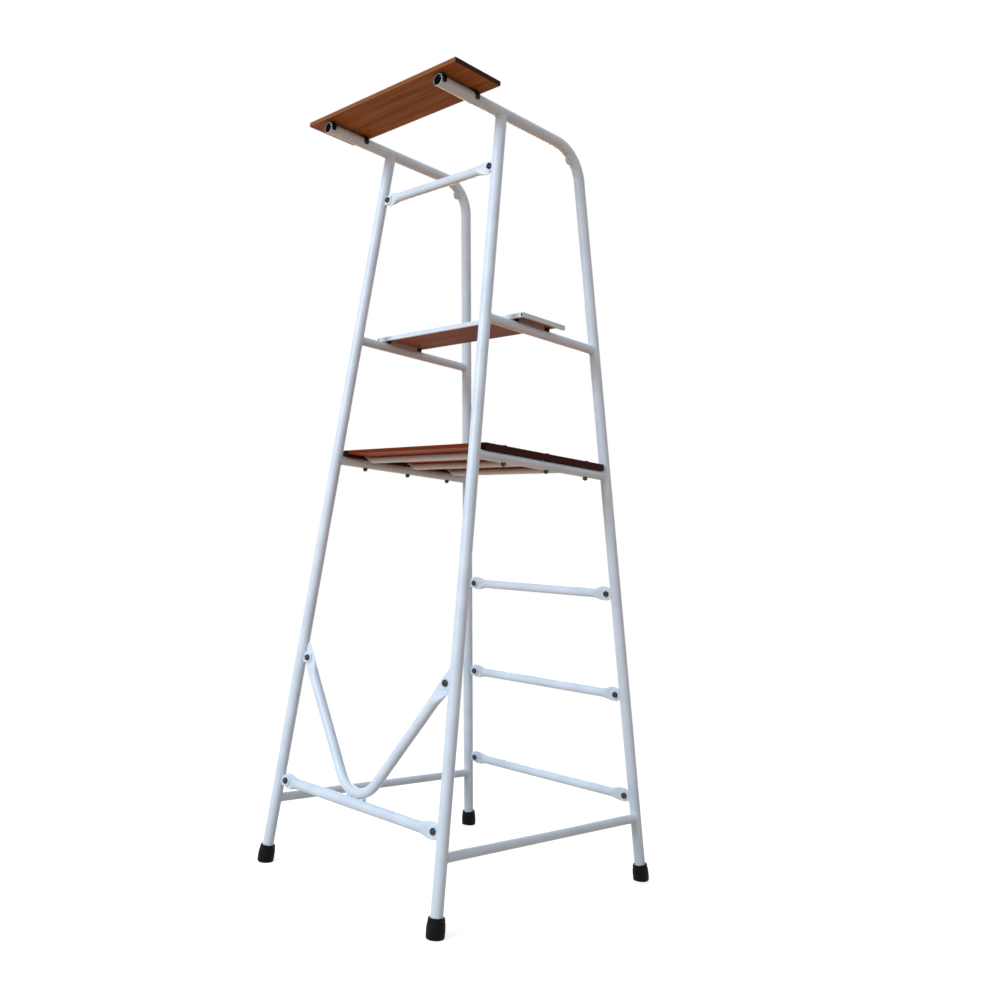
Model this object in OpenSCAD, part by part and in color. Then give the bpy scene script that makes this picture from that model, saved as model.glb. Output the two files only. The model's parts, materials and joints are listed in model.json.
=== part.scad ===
// Volleyball referee chair: a tall welded and bolted tube stand with a rear rung ladder,
// a standing platform, a narrow seat board and a score table.

/* [Stand] */
// Height of the top rails' axis above the floor
rail_z = 2300; // [2100:10:2500]
// Half the distance between the left and right legs' axes at the floor
foot_x = 400; // [360:5:440]
// Half the distance between the two top rails' axes
top_x = 257; // [240:1:280]
// Front legs' axis at rail height, behind the front feet
front_top_y = 174; // [140:1:210]
// Rear feet's axis, behind the front feet
rear_foot_y = 883; // [820:1:940]
// Rear legs' axis carried up to rail height, behind the front feet
rear_top_y = 516; // [470:1:560]
// Centreline radius of the bend from rear leg to top rail
bend_r = 114; // [95:1:160]
// Reach of the top rails' open ends in front of the front feet
rail_reach = 80; // [50:1:120]

/* [Tubes] */
// Outside diameter of the legs and top rails
leg_d = 34; // [30:0.5:38]
// Wall of the legs and top rails
leg_wall = 1.5; // [1:0.1:2.5]
// Outside diameter of the stretchers, the board rails and the top crossbar
side_bar_d = 28; // [26:0.5:32]
// Outside diameter of the rungs and the V-brace
bar_d = 30; // [26:0.5:34]
// Wall of every cross tube
bar_wall = 1.5; // [1:0.1:2.5]
// Outside diameter of the lower crossbar
lower_bar_d = 32; // [30:0.5:38]
// Outside diameter of the platform battens
batten_d = 21; // [18:0.5:26]
// Wall of the platform battens
batten_wall = 1.2; // [0.8:0.1:2]

/* [Heights] */
// Axis of the lower side stretchers
stretcher_z = 196; // [150:1:215]
// Axis of the lower crossbar
lower_bar_z = 256; // [235:1:300]
// Bolts at the V-brace's upper ends
v_bolt_z = 641; // [560:1:760]
// Axis of the lowest rung
rung_z = 260; // [250:1:320]
// Distance between rungs
rung_pitch = 321; // [280:1:330]
// Axis of the platform rails
platform_rail_z = 1275; // [1200:1:1360]
// Axis of the seat rails
seat_rail_z = 1672; // [1600:1:1760]
// Drop from the top rails' axes to the top crossbar's axis
top_bar_drop = 162; // [140:1:220]

/* [Bolted ends] */
// Bolts' distance inward from the legs' axes
bolt_inset = 37; // [35:0.5:42]
// The same distance at the top crossbar
top_bolt_inset = 30; // [29:0.5:34]
// Length squeezed fully flat, inward of the bolt
flat_run = 15; // [13:0.5:25]
// Length over which a tube goes from round to flat
flat_taper = 42; // [30:1:60]
// Gap from a flattened tip to the leg
tip_gap = 2; // [1:0.1:4]
// The same length on the V-brace's arms
v_taper = 62; // [40:1:75]
// Rise of the V-brace's flattened ends above their bolts
v_tail = 44; // [30:1:50]
// Centreline radius of the V-brace's bend
v_bend_r = 103; // [80:1:130]
// Thickness of the welded ears
ear_t = 4; // [3:0.5:6]
// End radius of the welded ears
ear_r = 16; // [13:0.5:19]
// Diameter of the frame bolts
bolt_d = 10; // [8:0.5:12]
// Width across the flats of the frame bolts and nuts
bolt_af = 17; // [14:0.5:19]

/* [Platform] */
// Thickness of the platform board
platform_t = 12; // [9:0.5:18]
// Clearance from the front legs to the board
platform_front_gap = 11; // [4:0.5:30]
// Clearance from the rear legs to the board
platform_rear_gap = 4; // [2:0.5:20]
// Width of the dark strips at the board's ends
strip_w = 30; // [26:0.5:34]
// Front batten's axis behind the board's front edge
batten_front = 88; // [60:1:110]
// Rear batten's axis ahead of the board's rear edge
batten_rear = 73; // [50:1:100]
// Diameter of the platform bolts
small_bolt_d = 8; // [6:0.5:8]
// Width across the flats of the platform nuts
small_af = 13; // [12:0.5:15]

/* [Seat] */
// Seat's front edge behind the front feet
seat_front_y = 238; // [200:1:260]
// Depth of the seat board from its front edge
seat_depth = 161; // [140:1:200]
// Reach of the seat past its rails' axes
seat_overhang = 41; // [38:0.5:60]
// Thickness of the seat board
seat_t = 10; // [8:0.5:15]
// Depth of the channel trims
trim_depth = 8; // [6:0.5:20]
// Wall of the channel trims
trim_wall = 1.5; // [1:0.1:2]
// Length of the end trims behind the seat board
trim_tail = 26; // [10:1:40]

/* [Table] */
// Thickness of the table board
table_t = 15; // [12:0.5:20]
// Reach of the table ahead of the top rails' open ends
table_lead = 13; // [5:1:40]
// Depth of the table, front to back
table_depth = 175; // [150:1:240]
// Reach of the table past its rails' axes
table_overhang = 84; // [60:1:140]

/* [Saddles, pads and feet] */
// Width of the table's plastic saddles along the tube, under the table
saddle_w = 20; // [16:0.5:26]
// Width to which a saddle's legs narrow at their ends
saddle_foot = 11; // [8:0.5:16]
// Wall of the table's saddles
saddle_wall = 3.7; // [3:0.1:5]
// Thickness of a saddle between tube and table
saddle_web = 2.5; // [2:0.1:4]
// Radius of the round pads under the platform and seat
pad_r = 8; // [7:0.5:12]
// Thickness of the platform's pads above their rails
platform_pad_rise = 6; // [4:0.1:9]
// Thickness of the seat's pads above their rails
seat_pad_rise = 8; // [6:0.1:11]
// Reach of a round pad's skirt below the top of its rail
pad_skirt = 5; // [4:0.1:7]
// Diameter of the board screws
screw_d = 5; // [4:0.1:6]
// Length of each rubber foot cap along its leg
cap_len = 52; // [45:1:70]
// Radius of a foot cap at its rounded base
cap_base_r = 25; // [23:0.5:28]
// Radius of a foot cap at its mouth
cap_top_r = 22.5; // [21:0.5:24]
// Swelling of a foot cap's side between them
cap_swell = 1.5; // [0:0.1:2]

/* [Hidden] */
$fn = 64;

// Points round a section where a tube turns flat, and steps from its round to its flat section
loft_points = 24;
loft_rings = 5;
// Lap of such a blend into the tube, and the step down at its round end
sliver = 0.1;
loft_step = 0.05;
// Root gap of a coped or welded joint
weld_gap = 0.3;
// Swelling of a bent tube's section, and the angle by which a bend laps its straight ends
bend_swell = 0.05;
bend_lap = 0.3;
// Hairline left between a flattened tube's two walls
seam = 0.4;
// Extra length of a cut past the face that it opens
over = 1;
// Radial clearance of a bolt or screw in its hole, and of a nut on its bolt
hole_gap = 0.5;
thread_gap = 0.1;
washer_t = 2;
bolt_head_h = 6.4;
bolt_nut_h = 8;
bolt_tip = 3;
bolt_washer_r = 10;
small_washer_t = 1.5;
small_washer_r = 8;
small_nut_h = 6.5;
small_tip = 2;
dome_r = 9;
dome_h = 4;
// Reach of a batten's flattened tip past its bolt, and its flat and tapered lengths
batten_tip = 10;
batten_flat = 16;
batten_taper = 22;
strip_gap = 0.3;
// Clearance round a batten's end in the hollow of its strip
strip_hollow_gap = 0.8;
saddle_fit = 0.3;
// Reach of a table saddle's legs below its tube's axis
saddle_leg = 8;
// Distances of the rear saddles and pads in from the rear edges of what they carry
table_saddle_in = 24;
seat_pad_in = 10;
board_fit = 0.3;
// Depth of the corners cut off the seat board inside the end trims' open ends
corner_cut = 14;
screw_head_r = 5;
screw_head_h = 2.5;
screw_tip = 5;
// Outer board screws' distance from the middle of the platform
platform_screw_x = 240;
// Lug on the hollow of each bend: its place round the bend, length and reach
lug_angle = 51;
lug_len = 28;
lug_reach = 17;
lug_t = 4;
gusset_t = 10;
gusset_in = 18;
gusset_out = 40;
gusset_h = 7;
cap_floor = 10;
cap_round = 8;
cap_sink = 3;
cap_fit = 0.3;
cap_steps = 8;

leg_r = leg_d / 2;
bar_r = bar_d / 2;
side_bar_r = side_bar_d / 2;
top_bar_z = rail_z - top_bar_drop;
bolt_hole_r = bolt_d / 2 + hole_gap;
small_hole_r = small_bolt_d / 2 + hole_gap;
screw_hole_r = screw_d / 2 + hole_gap;
side_tilt = atan((foot_x - top_x) / rail_z);
front_lean = atan(front_top_y / rail_z);
rear_lean = atan((rear_foot_y - rear_top_y) / rail_z);
side_h = rail_z / cos(side_tilt);
front_in_side = atan(front_top_y / side_h);
rear_in_side = atan((rear_foot_y - rear_top_y) / side_h);
leg_in_front = atan((foot_x - top_x) * cos(front_lean) / rail_z);
front_leg_len = side_h / cos(front_in_side);
bend_turn = 90 - rear_in_side;
bend_cut = bend_r * tan(bend_turn / 2);
rear_leg_len = side_h / cos(rear_in_side) - bend_cut;
bend_y = rear_top_y - bend_cut;

flat_t = 2 * bar_wall + seam;
bar_y = (ear_t + flat_t) / 2;
lower_bar_t = lower_bar_z / cos(front_lean);
v_bolt_x = half_width(v_bolt_z) - bolt_inset;
v_bolt_t = v_bolt_z / cos(front_lean);
v_low_t = lower_bar_t + (lower_bar_d + bar_d) / 2 + weld_gap;
v_centre_t = v_low_t + v_bend_r;
v_span = norm([v_bolt_x, v_bolt_t - v_centre_t]);
v_arm = sqrt(v_span * v_span - v_bend_r * v_bend_r);
v_angle = atan2(v_bolt_x, v_bolt_t - v_centre_t) - asin(v_bend_r / v_span);
v_straight = v_arm - flat_run - v_taper;

platform_x = half_width(platform_rail_z) + side_bar_r;
platform_bolt_x = half_width(platform_rail_z);
batten_t = 2 * batten_wall + seam;
batten_low = platform_rail_z + side_bar_r + platform_pad_rise;
platform_low = batten_low + batten_t;
batten_z = platform_low - batten_d / 2;
platform_front_y = front_y(platform_low) + leg_r + platform_front_gap;
platform_rear_y = rear_y(platform_low + platform_t) - leg_r - platform_rear_gap;
batten_ys = [
    platform_front_y + batten_front,
    (platform_front_y + batten_front + platform_rear_y - batten_rear) / 2,
    platform_rear_y - batten_rear
];
strip_low = platform_rail_z + side_bar_r + strip_gap;

seat_bolt_x = half_width(seat_rail_z);
seat_x = seat_bolt_x + seat_overhang;
seat_low = seat_rail_z + side_bar_r + seat_pad_rise;
trim_low = seat_low - trim_wall - board_fit;
trim_h = seat_t + 2 * (trim_wall + board_fit);
seat_rear_y = seat_front_y + seat_depth;
seat_pad_ys = [seat_front_y + trim_depth + board_fit + pad_r, seat_rear_y - seat_pad_in];

table_low = rail_z + leg_r + saddle_web;
table_x = top_x + table_overhang;
table_front_y = -rail_reach - table_lead;
table_saddle_ys = [-rail_reach + saddle_w / 2, table_front_y + table_depth - table_saddle_in];

// Rearmost reach of a rear foot cap's rounded base, which leans with its leg
rear_axis_y = -sin(rear_in_side);
cap_rear_y = rear_foot_y + rear_axis_y * (cap_round - cap_sink) + cap_round
    + (cap_base_r - cap_round) * sqrt(1 - rear_axis_y * rear_axis_y);
mid_y = (cap_rear_y + table_front_y) / 2;

paint = "#dfe6ee";
dark_steel = "#2b2d31";
black_plastic = "#17181a";
black_rubber = "#141414";
red_wood = "#84402c";
dark_wood = "#33150c";
brown_wood = "#7a4a28";

function half_width(z) = foot_x - (foot_x - top_x) * z / rail_z;
function front_y(z) = front_top_y * z / rail_z;
function rear_y(z) = rear_foot_y - (rear_foot_y - rear_top_y) * z / rail_z;

// A squeezed tube's wall stays as long round as it was: the half breadth of its flats, and its width
function oval_reach(d, t) = PI * (d - t) / 4;
function flat_width(d, t) = 2 * oval_reach(d, t) + t;
function eased(share) = (1 - cos(180 * share)) / 2;
function oval(x, lift, r, reach) = [
    for (k = [0 : loft_points - 1]) let (a = 360 * (k + 0.5) / loft_points)
        [x, lift + r * sin(a), r * cos(a) + reach * sign(cos(a))]
];
function hex_r(af) = af / 2 / cos(30);

// Moves the stand's own datum, between the front feet, to the middle of the floor plan
module centred() {
    translate([0, -mid_y, 0]) children();
}

module left() {
    mirror([1, 0, 0]) children();
}

module both_sides() {
    children();
    left() children();
}

// The plane that holds the right legs, rails and stretcher, standing on the right feet
module side_plane() {
    translate([foot_x, 0, 0]) rotate([0, -side_tilt, 0]) children();
}

module along_front_leg() {
    side_plane() rotate([-front_in_side, 0, 0]) children();
}

module along_rear_leg() {
    side_plane() translate([0, rear_foot_y, 0]) rotate([rear_in_side, 0, 0]) children();
}

// The planes that hold the crossbars, rungs and ears
module front_plane() {
    rotate([-front_lean, 0, 0]) children();
}

module rear_plane() {
    translate([0, rear_foot_y, 0]) rotate([rear_lean, 0, 0]) children();
}

module at_front_bolt(z, inset) {
    front_plane() translate([half_width(z) - inset, 0, z / cos(front_lean)]) children();
}

module at_rear_bolt(z) {
    rear_plane() translate([half_width(z) - bolt_inset, 0, z / cos(rear_lean)]) children();
}

module at_frame_bolts() {
    both_sides() {
        at_front_bolt(top_bar_z, top_bolt_inset) children();
        at_front_bolt(lower_bar_z, bolt_inset) children();
        at_front_bolt(v_bolt_z, bolt_inset) children();
        for (step = [0 : 2]) at_rear_bolt(rung_z + step * rung_pitch) children();
    }
}

// A plane outline drawn in X and Z, with its thickness running back from y0
module upright(t, y0) {
    translate([0, y0 + t, 0]) rotate([90, 0, 0]) linear_extrude(height = t) children();
}

module hex_prism(af, h) {
    cylinder(r = hex_r(af), h = h, $fn = 6);
}

// Bent tubes: rear leg, bend and top rail as one run, in the side plane
module rail_run(r, floor_end, front_end) {
    translate([0, rear_foot_y, 0]) rotate([rear_in_side, 0, 0]) translate([0, 0, floor_end])
        cylinder(r = r, h = rear_leg_len - floor_end);
    translate([0, bend_y, side_h - bend_r]) rotate([90, 0, 90]) rotate([0, 0, rear_in_side - bend_lap])
        rotate_extrude(angle = bend_turn + 2 * bend_lap) translate([bend_r, 0]) circle(r = r + bend_swell);
    translate([0, bend_y, side_h]) rotate([90, 0, 0]) cylinder(r = r, h = bend_y - front_end);
}

module table_screw_holes() {
    for (y = table_saddle_ys) translate([top_x, y, rail_z]) cylinder(r = screw_hole_r, h = leg_d);
}

module rear_leg_and_rail() {
    color(paint) difference() {
        side_plane() difference() {
            rail_run(leg_r, cap_floor, -rail_reach);
            rail_run(leg_r - leg_wall, cap_floor - over, -rail_reach - over);
        }
        table_screw_holes();
    }
}

module left_rear_leg_and_rail() {
    centred() left() rear_leg_and_rail();
}

module right_rear_leg_and_rail() {
    centred() rear_leg_and_rail();
}

module front_leg() {
    color(paint) difference() {
        along_front_leg() translate([0, 0, cap_floor]) difference() {
            cylinder(r = leg_r, h = front_leg_len - cap_floor);
            translate([0, 0, -over]) cylinder(r = leg_r - leg_wall, h = front_leg_len + over);
        }
        side_plane() rail_run(leg_r + weld_gap, cap_floor, -rail_reach);
    }
}

module left_front_leg() {
    centred() left() front_leg();
}

module right_front_leg() {
    centred() front_leg();
}

// Both legs' outer surfaces with the weld root gap, which cope the bars between them
module leg_envelopes() {
    along_front_leg() cylinder(r = leg_r + weld_gap, h = front_leg_len);
    along_rear_leg() cylinder(r = leg_r + weld_gap, h = rear_leg_len);
}

module side_bar(z) {
    color(paint) difference() {
        side_plane() translate([0, front_y(z), z / cos(side_tilt)]) rotate([-90, 0, 0]) difference() {
            cylinder(r = side_bar_r, h = rear_y(z) - front_y(z));
            translate([0, 0, -over])
                cylinder(r = side_bar_r - bar_wall, h = rear_y(z) - front_y(z) + 2 * over);
        }
        leg_envelopes();
    }
}

module left_stretcher() {
    centred() left() side_bar(stretcher_z);
}

module right_stretcher() {
    centred() side_bar(stretcher_z);
}

module platform_rail() {
    color(paint) difference() {
        side_bar(platform_rail_z);
        for (y = batten_ys) translate([platform_bolt_x, y, platform_rail_z - side_bar_d])
            cylinder(r = small_hole_r, h = 2 * side_bar_d);
    }
}

module left_platform_rail() {
    centred() left() platform_rail();
}

module right_platform_rail() {
    centred() platform_rail();
}

module seat_rail() {
    color(paint) difference() {
        side_bar(seat_rail_z);
        for (y = seat_pad_ys) translate([seat_bolt_x, y, seat_rail_z])
            cylinder(r = screw_hole_r, h = side_bar_d);
    }
}

module left_seat_rail() {
    centred() left() seat_rail();
}

module right_seat_rail() {
    centred() seat_rail();
}

// Loft along +X from a round section at the origin to a flat one at the end of the taper
module round_to_flat(d, t, taper, lift) {
    round_d = d - 2 * loft_step;
    step = (taper + sliver) / loft_rings;
    rings = [
        for (i = [0 : loft_rings])
            let (share = eased(i / loft_rings), thick = round_d + (t - round_d) * share)
                oval(i * step - sliver, lift * share, thick / 2, oval_reach(round_d, thick))
    ];
    last = loft_rings * loft_points;
    polyhedron(
        points = [for (ring = rings) each ring],
        faces = [
            [for (k = [loft_points - 1 : -1 : 0]) k],
            for (i = [0 : loft_rings - 1], k = [0 : loft_points - 1])
                let (a = i * loft_points, b = a + loft_points, next = (k + 1) % loft_points)
                each [[a + k, a + next, b + next], [a + k, b + next, b + k]],
            [for (k = [0 : loft_points - 1]) last + k]
        ]
    );
}

// Flattened tube from the origin along +X, with its two folded edges
module flat_run_of(d, t, length) {
    reach = oval_reach(d, t);
    rotate([0, 90, 0]) linear_extrude(height = length) {
        square([2 * reach, t], center = true);
        translate([reach, 0]) circle(d = t);
        translate([-reach, 0]) circle(d = t);
    }
}

// Squeezed tube end along +X, thin in Y: its outside and the seam that is cut out of it
module flat_end(d, wall, taper, run, tip, lift) {
    t = 2 * wall + seam;
    w = flat_width(d, t);
    centre = taper + run + tip - w / 2;
    round_to_flat(d, t, taper, lift);
    intersection() {
        translate([taper - sliver, lift, 0]) flat_run_of(d, t, run + tip + over);
        upright(2 * t, lift - t) {
            translate([taper - sliver, -w / 2]) square([centre - taper + sliver, w]);
            translate([centre, 0]) circle(d = w);
        }
    }
}

module flat_end_inside(d, wall, taper, reach, lift) {
    w = flat_width(d - 2 * wall, seam);
    round_to_flat(d - 2 * wall, seam, taper, lift);
    translate([taper - sliver, lift - seam / 2, -w / 2]) cube([reach, seam, w]);
}

// Tube along X with both ends squeezed flat, its bolts at half_span on each side
module flat_ended_bar(half_span, d, wall, taper, run, tip, lift, hole_r) {
    round_half = half_span - run - taper;
    difference() {
        union() {
            rotate([0, 90, 0]) cylinder(d = d, h = 2 * round_half, center = true);
            both_sides() translate([round_half, 0, 0]) flat_end(d, wall, taper, run, tip, lift);
        }
        rotate([0, 90, 0]) cylinder(d = d - 2 * wall, h = 2 * (round_half + sliver), center = true);
        both_sides() {
            translate([round_half, 0, 0]) flat_end_inside(d, wall, taper, run + tip + over, lift);
            translate([half_span, 0, 0]) rotate([90, 0, 0]) cylinder(r = hole_r, h = 2 * d, center = true);
        }
    }
}

module bolted_bar(z, d, inset) {
    color(paint) flat_ended_bar(half_width(z) - inset, d, bar_wall, flat_taper, flat_run,
        inset - leg_r - tip_gap, 0, bolt_hole_r);
}

module front_bar(z, d, inset) {
    centred() front_plane() translate([0, bar_y, z / cos(front_lean)]) bolted_bar(z, d, inset);
}

module top_crossbar() {
    front_bar(top_bar_z, side_bar_d, top_bolt_inset);
}

module lower_crossbar() {
    front_bar(lower_bar_z, lower_bar_d, bolt_inset);
}

module rung(step) {
    z = rung_z + step * rung_pitch;
    centred() rear_plane() translate([0, bar_y, z / cos(rear_lean)]) bolted_bar(z, bar_d, bolt_inset);
}

module lower_rung() {
    rung(0);
}

module middle_rung() {
    rung(1);
}

module upper_rung() {
    rung(2);
}

// V-brace, drawn in the front plane round the height of its bend's centre
module v_bend(d) {
    half_turn = 90 - v_angle + bend_lap;
    translate([0, 0, v_centre_t]) rotate([90, 0, 0]) rotate([0, 0, 270 - half_turn])
        rotate_extrude(angle = 2 * half_turn) translate([v_bend_r, 0]) circle(r = d / 2 + bend_swell);
}

module along_v_arm() {
    translate([v_bend_r * cos(v_angle), 0, v_centre_t - v_bend_r * sin(v_angle)])
        rotate([0, v_angle - 90, 0]) children();
}

module v_arm_outside() {
    rotate([0, 90, 0]) cylinder(d = bar_d, h = v_straight);
    translate([v_straight, 0, 0]) {
        round_to_flat(bar_d, flat_t, v_taper, 0);
        translate([v_taper - sliver, 0, 0]) flat_run_of(bar_d, flat_t, flat_run + 2 * v_tail);
    }
}

module v_arm_inside() {
    rotate([0, 90, 0]) cylinder(d = bar_d - 2 * bar_wall, h = v_straight + sliver);
    translate([v_straight, 0, 0])
        flat_end_inside(bar_d, bar_wall, v_taper, flat_run + 2 * v_tail + over, 0);
}

// What is trimmed off the V-brace's ends: a line beside the leg and a level cut above the bolt
module v_trim() {
    translate([foot_x, -bar_d, 0]) rotate([0, -leg_in_front, 0]) translate([-leg_r - tip_gap, 0, 0])
        cube([foot_x, 2 * bar_d, side_h]);
    translate([0, -bar_d, v_bolt_t + v_tail]) cube([foot_x, 2 * bar_d, side_h]);
}

module v_brace() {
    color(paint) centred() front_plane() translate([0, bar_y, 0]) difference() {
        union() {
            v_bend(bar_d);
            both_sides() along_v_arm() v_arm_outside();
        }
        v_bend(bar_d - 2 * bar_wall);
        both_sides() {
            along_v_arm() v_arm_inside();
            v_trim();
            translate([v_bolt_x, 0, v_bolt_t]) rotate([90, 0, 0])
                cylinder(r = bolt_hole_r, h = 2 * bar_d, center = true);
        }
    }
}

module v_brace_gussets() {
    bar_top = lower_bar_t + lower_bar_d / 2 + weld_gap;
    color(paint) centred() front_plane() both_sides() upright(gusset_t, bar_y - gusset_t / 2) difference() {
        translate([gusset_in, bar_top]) square([gusset_out - gusset_in, bar_r]);
        translate([0, v_centre_t]) circle(r = v_bend_r + bar_r + weld_gap, $fn = 4 * $fn);
        translate([gusset_in - over, bar_top + gusset_h]) square([gusset_out, bar_r]);
    }
}

// Ears: rounded tabs welded to the inner side of the legs
module ear(inset) {
    upright(ear_t, -ear_t / 2) difference() {
        union() {
            circle(r = ear_r);
            translate([0, -ear_r]) square([inset, 2 * ear_r]);
        }
        circle(r = bolt_hole_r);
    }
}

module front_ears(z, inset) {
    color(paint) centred() both_sides() difference() {
        at_front_bolt(z, inset) ear(inset);
        leg_envelopes();
    }
}

module top_crossbar_ears() {
    front_ears(top_bar_z, top_bolt_inset);
}

module lower_crossbar_ears() {
    front_ears(lower_bar_z, bolt_inset);
}

module v_brace_ears() {
    front_ears(v_bolt_z, bolt_inset);
}

module rung_ears() {
    color(paint) centred() both_sides() for (step = [0 : 2]) difference() {
        at_rear_bolt(rung_z + step * rung_pitch) ear(bolt_inset);
        leg_envelopes();
    }
}

// Small plain lugs welded to the hollow side of the bends
module bend_lugs() {
    root_r = bend_r - leg_r;
    color(paint) centred() both_sides() side_plane() difference() {
        translate([0, bend_y, side_h - bend_r]) rotate([90, 0, 90]) rotate([0, 0, lug_angle])
            translate([0, 0, -lug_t / 2]) linear_extrude(height = lug_t) {
                translate([root_r - lug_reach + lug_len / 2, -lug_len / 2]) square([leg_r, lug_len]);
                intersection() {
                    translate([root_r - lug_reach + lug_len / 2, 0]) circle(d = lug_len);
                    translate([root_r - lug_reach, -lug_len / 2]) square([lug_len / 2, lug_len]);
                }
            }
        rail_run(leg_r + weld_gap, cap_floor, -rail_reach);
    }
}

// Frame fasteners, each drawn at its bolt with the ear centred on y = 0 and its head in front
module frame_bolts() {
    grip = ear_t + flat_t + washer_t + bolt_nut_h + bolt_tip;
    color(dark_steel) centred() at_frame_bolts() rotate([-90, 0, 0]) {
        translate([0, 0, -ear_t / 2 - bolt_head_h]) hex_prism(bolt_af, bolt_head_h);
        translate([0, 0, -ear_t / 2]) cylinder(d = bolt_d, h = grip);
    }
}

module frame_washers() {
    color(dark_steel) centred() at_frame_bolts() rotate([-90, 0, 0])
        translate([0, 0, ear_t / 2 + flat_t]) difference() {
            cylinder(r = bolt_washer_r, h = washer_t);
            translate([0, 0, -over]) cylinder(r = bolt_hole_r, h = washer_t + 2 * over);
        }
}

module frame_nuts() {
    color(dark_steel) centred() at_frame_bolts() rotate([-90, 0, 0])
        translate([0, 0, ear_t / 2 + flat_t + washer_t]) difference() {
            hex_prism(bolt_af, bolt_nut_h);
            translate([0, 0, -over]) cylinder(r = bolt_d / 2 + thread_gap, h = bolt_nut_h + 2 * over);
        }
}

// Countersunk screw with its head level with z = 0, and the hole that it goes through
module screw(length) {
    translate([0, 0, -screw_head_h]) cylinder(r1 = screw_d / 2, r2 = screw_head_r, h = screw_head_h);
    translate([0, 0, -length]) cylinder(d = screw_d, h = length - screw_head_h);
}

module screw_hole(length) {
    translate([0, 0, -screw_head_h])
        cylinder(r1 = screw_hole_r, r2 = screw_head_r + hole_gap, h = screw_head_h + sliver);
    translate([0, 0, -length]) cylinder(r = screw_hole_r, h = length);
}

// Platform
module platform_screw_row() {
    for (x = [-platform_screw_x, 0, platform_screw_x]) translate([x, 0, 0]) children();
}

module batten(place) {
    lift = platform_low - batten_t / 2 - batten_z;
    color(paint) centred() translate([0, batten_ys[place], batten_z]) difference() {
        rotate([90, 0, 0]) flat_ended_bar(platform_bolt_x, batten_d, batten_wall, batten_taper,
            batten_flat, batten_tip, lift, small_hole_r);
        platform_screw_row() cylinder(r = screw_hole_r, h = batten_d);
    }
}

module front_batten() {
    batten(0);
}

module middle_batten() {
    batten(1);
}

module rear_batten() {
    batten(2);
}

// Round plastic pad on a rail along Y, hollowed to sit over it; drawn from the rail's axis
module rail_pad(rise, hole_r) {
    difference() {
        translate([0, 0, side_bar_r - pad_skirt]) cylinder(r = pad_r, h = pad_skirt + rise);
        rotate([90, 0, 0]) cylinder(r = side_bar_r + saddle_fit, h = 4 * pad_r, center = true);
        cylinder(r = hole_r, h = side_bar_d + rise);
    }
}

module at_platform_bolts() {
    both_sides() for (y = batten_ys) translate([platform_bolt_x, y, 0]) children();
}

module platform_pads() {
    color(black_plastic) centred() at_platform_bolts() translate([0, 0, platform_rail_z])
        rail_pad(platform_pad_rise, small_hole_r);
}

module platform_holes() {
    at_platform_bolts() translate([0, 0, platform_low - over])
        cylinder(r = small_hole_r, h = platform_t + 2 * over);
}

module at_platform_screws() {
    for (y = batten_ys) translate([0, y, platform_low + platform_t]) platform_screw_row() children();
}

module platform_board() {
    half = platform_x - strip_w - strip_gap;
    color(red_wood) centred() difference() {
        translate([-half, platform_front_y, platform_low])
            cube([2 * half, platform_rear_y - platform_front_y, platform_t]);
        at_platform_screws() screw_hole(platform_t + over);
    }
}

module platform_screws() {
    color(dark_steel) centred() at_platform_screws() screw(platform_t + batten_wall + screw_tip);
}

// End strip on a platform rail, hollowed underneath over the pads and the battens' flat ends
module platform_strip() {
    inner_x = platform_x - strip_w;
    hollow_x = platform_bolt_x + batten_tip + strip_hollow_gap;
    hollow_half = flat_width(batten_d, batten_t) / 2 + strip_hollow_gap;
    color(dark_wood) difference() {
        translate([inner_x, platform_front_y, strip_low])
            cube([strip_w, platform_rear_y - platform_front_y, platform_low + platform_t - strip_low]);
        platform_holes();
        for (y = batten_ys) translate([inner_x - over, y - hollow_half, strip_low - over])
            cube([hollow_x - inner_x + over, 2 * hollow_half, platform_low - strip_low + over]);
    }
}

module left_platform_strip() {
    centred() left() platform_strip();
}

module right_platform_strip() {
    centred() platform_strip();
}

module platform_bolts() {
    rail_low = platform_rail_z - side_bar_r;
    bolt_low = rail_low - small_washer_t - small_nut_h - small_tip;
    sphere_r = (dome_r * dome_r + dome_h * dome_h) / (2 * dome_h);
    color(dark_steel) centred() at_platform_bolts() {
        translate([0, 0, bolt_low]) cylinder(d = small_bolt_d, h = platform_low + platform_t - bolt_low);
        translate([0, 0, platform_low + platform_t]) intersection() {
            translate([0, 0, dome_h - sphere_r]) sphere(r = sphere_r);
            cylinder(r = dome_r, h = dome_h);
        }
    }
}

module platform_washers() {
    color(dark_steel) centred() at_platform_bolts()
        translate([0, 0, platform_rail_z - side_bar_r - small_washer_t]) difference() {
            cylinder(r = small_washer_r, h = small_washer_t);
            translate([0, 0, -over]) cylinder(r = small_hole_r, h = small_washer_t + 2 * over);
        }
}

module platform_nuts() {
    color(dark_steel) centred() at_platform_bolts()
        translate([0, 0, platform_rail_z - side_bar_r - small_washer_t - small_nut_h]) difference() {
            hex_prism(small_af, small_nut_h);
            translate([0, 0, -over])
                cylinder(r = small_bolt_d / 2 + thread_gap, h = small_nut_h + 2 * over);
        }
}

// Seat
module at_seat_screws() {
    both_sides() for (y = seat_pad_ys) translate([seat_bolt_x, y, 0]) children();
}

module seat_pads() {
    color(black_plastic) centred() at_seat_screws() translate([0, 0, seat_rail_z])
        rail_pad(seat_pad_rise, screw_hole_r);
}

module seat_board() {
    half = seat_x - trim_wall - board_fit;
    front = seat_front_y + trim_wall + board_fit;
    color(brown_wood) centred() difference() {
        translate([-half, front, seat_low]) cube([2 * half, seat_rear_y - front, seat_t]);
        both_sides() translate([seat_x - trim_depth - board_fit, front - over, seat_low - over])
            cube([trim_depth, corner_cut + over, seat_t + 2 * over]);
        at_seat_screws() translate([0, 0, seat_low + seat_t]) screw_hole(seat_t + over);
    }
}

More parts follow.
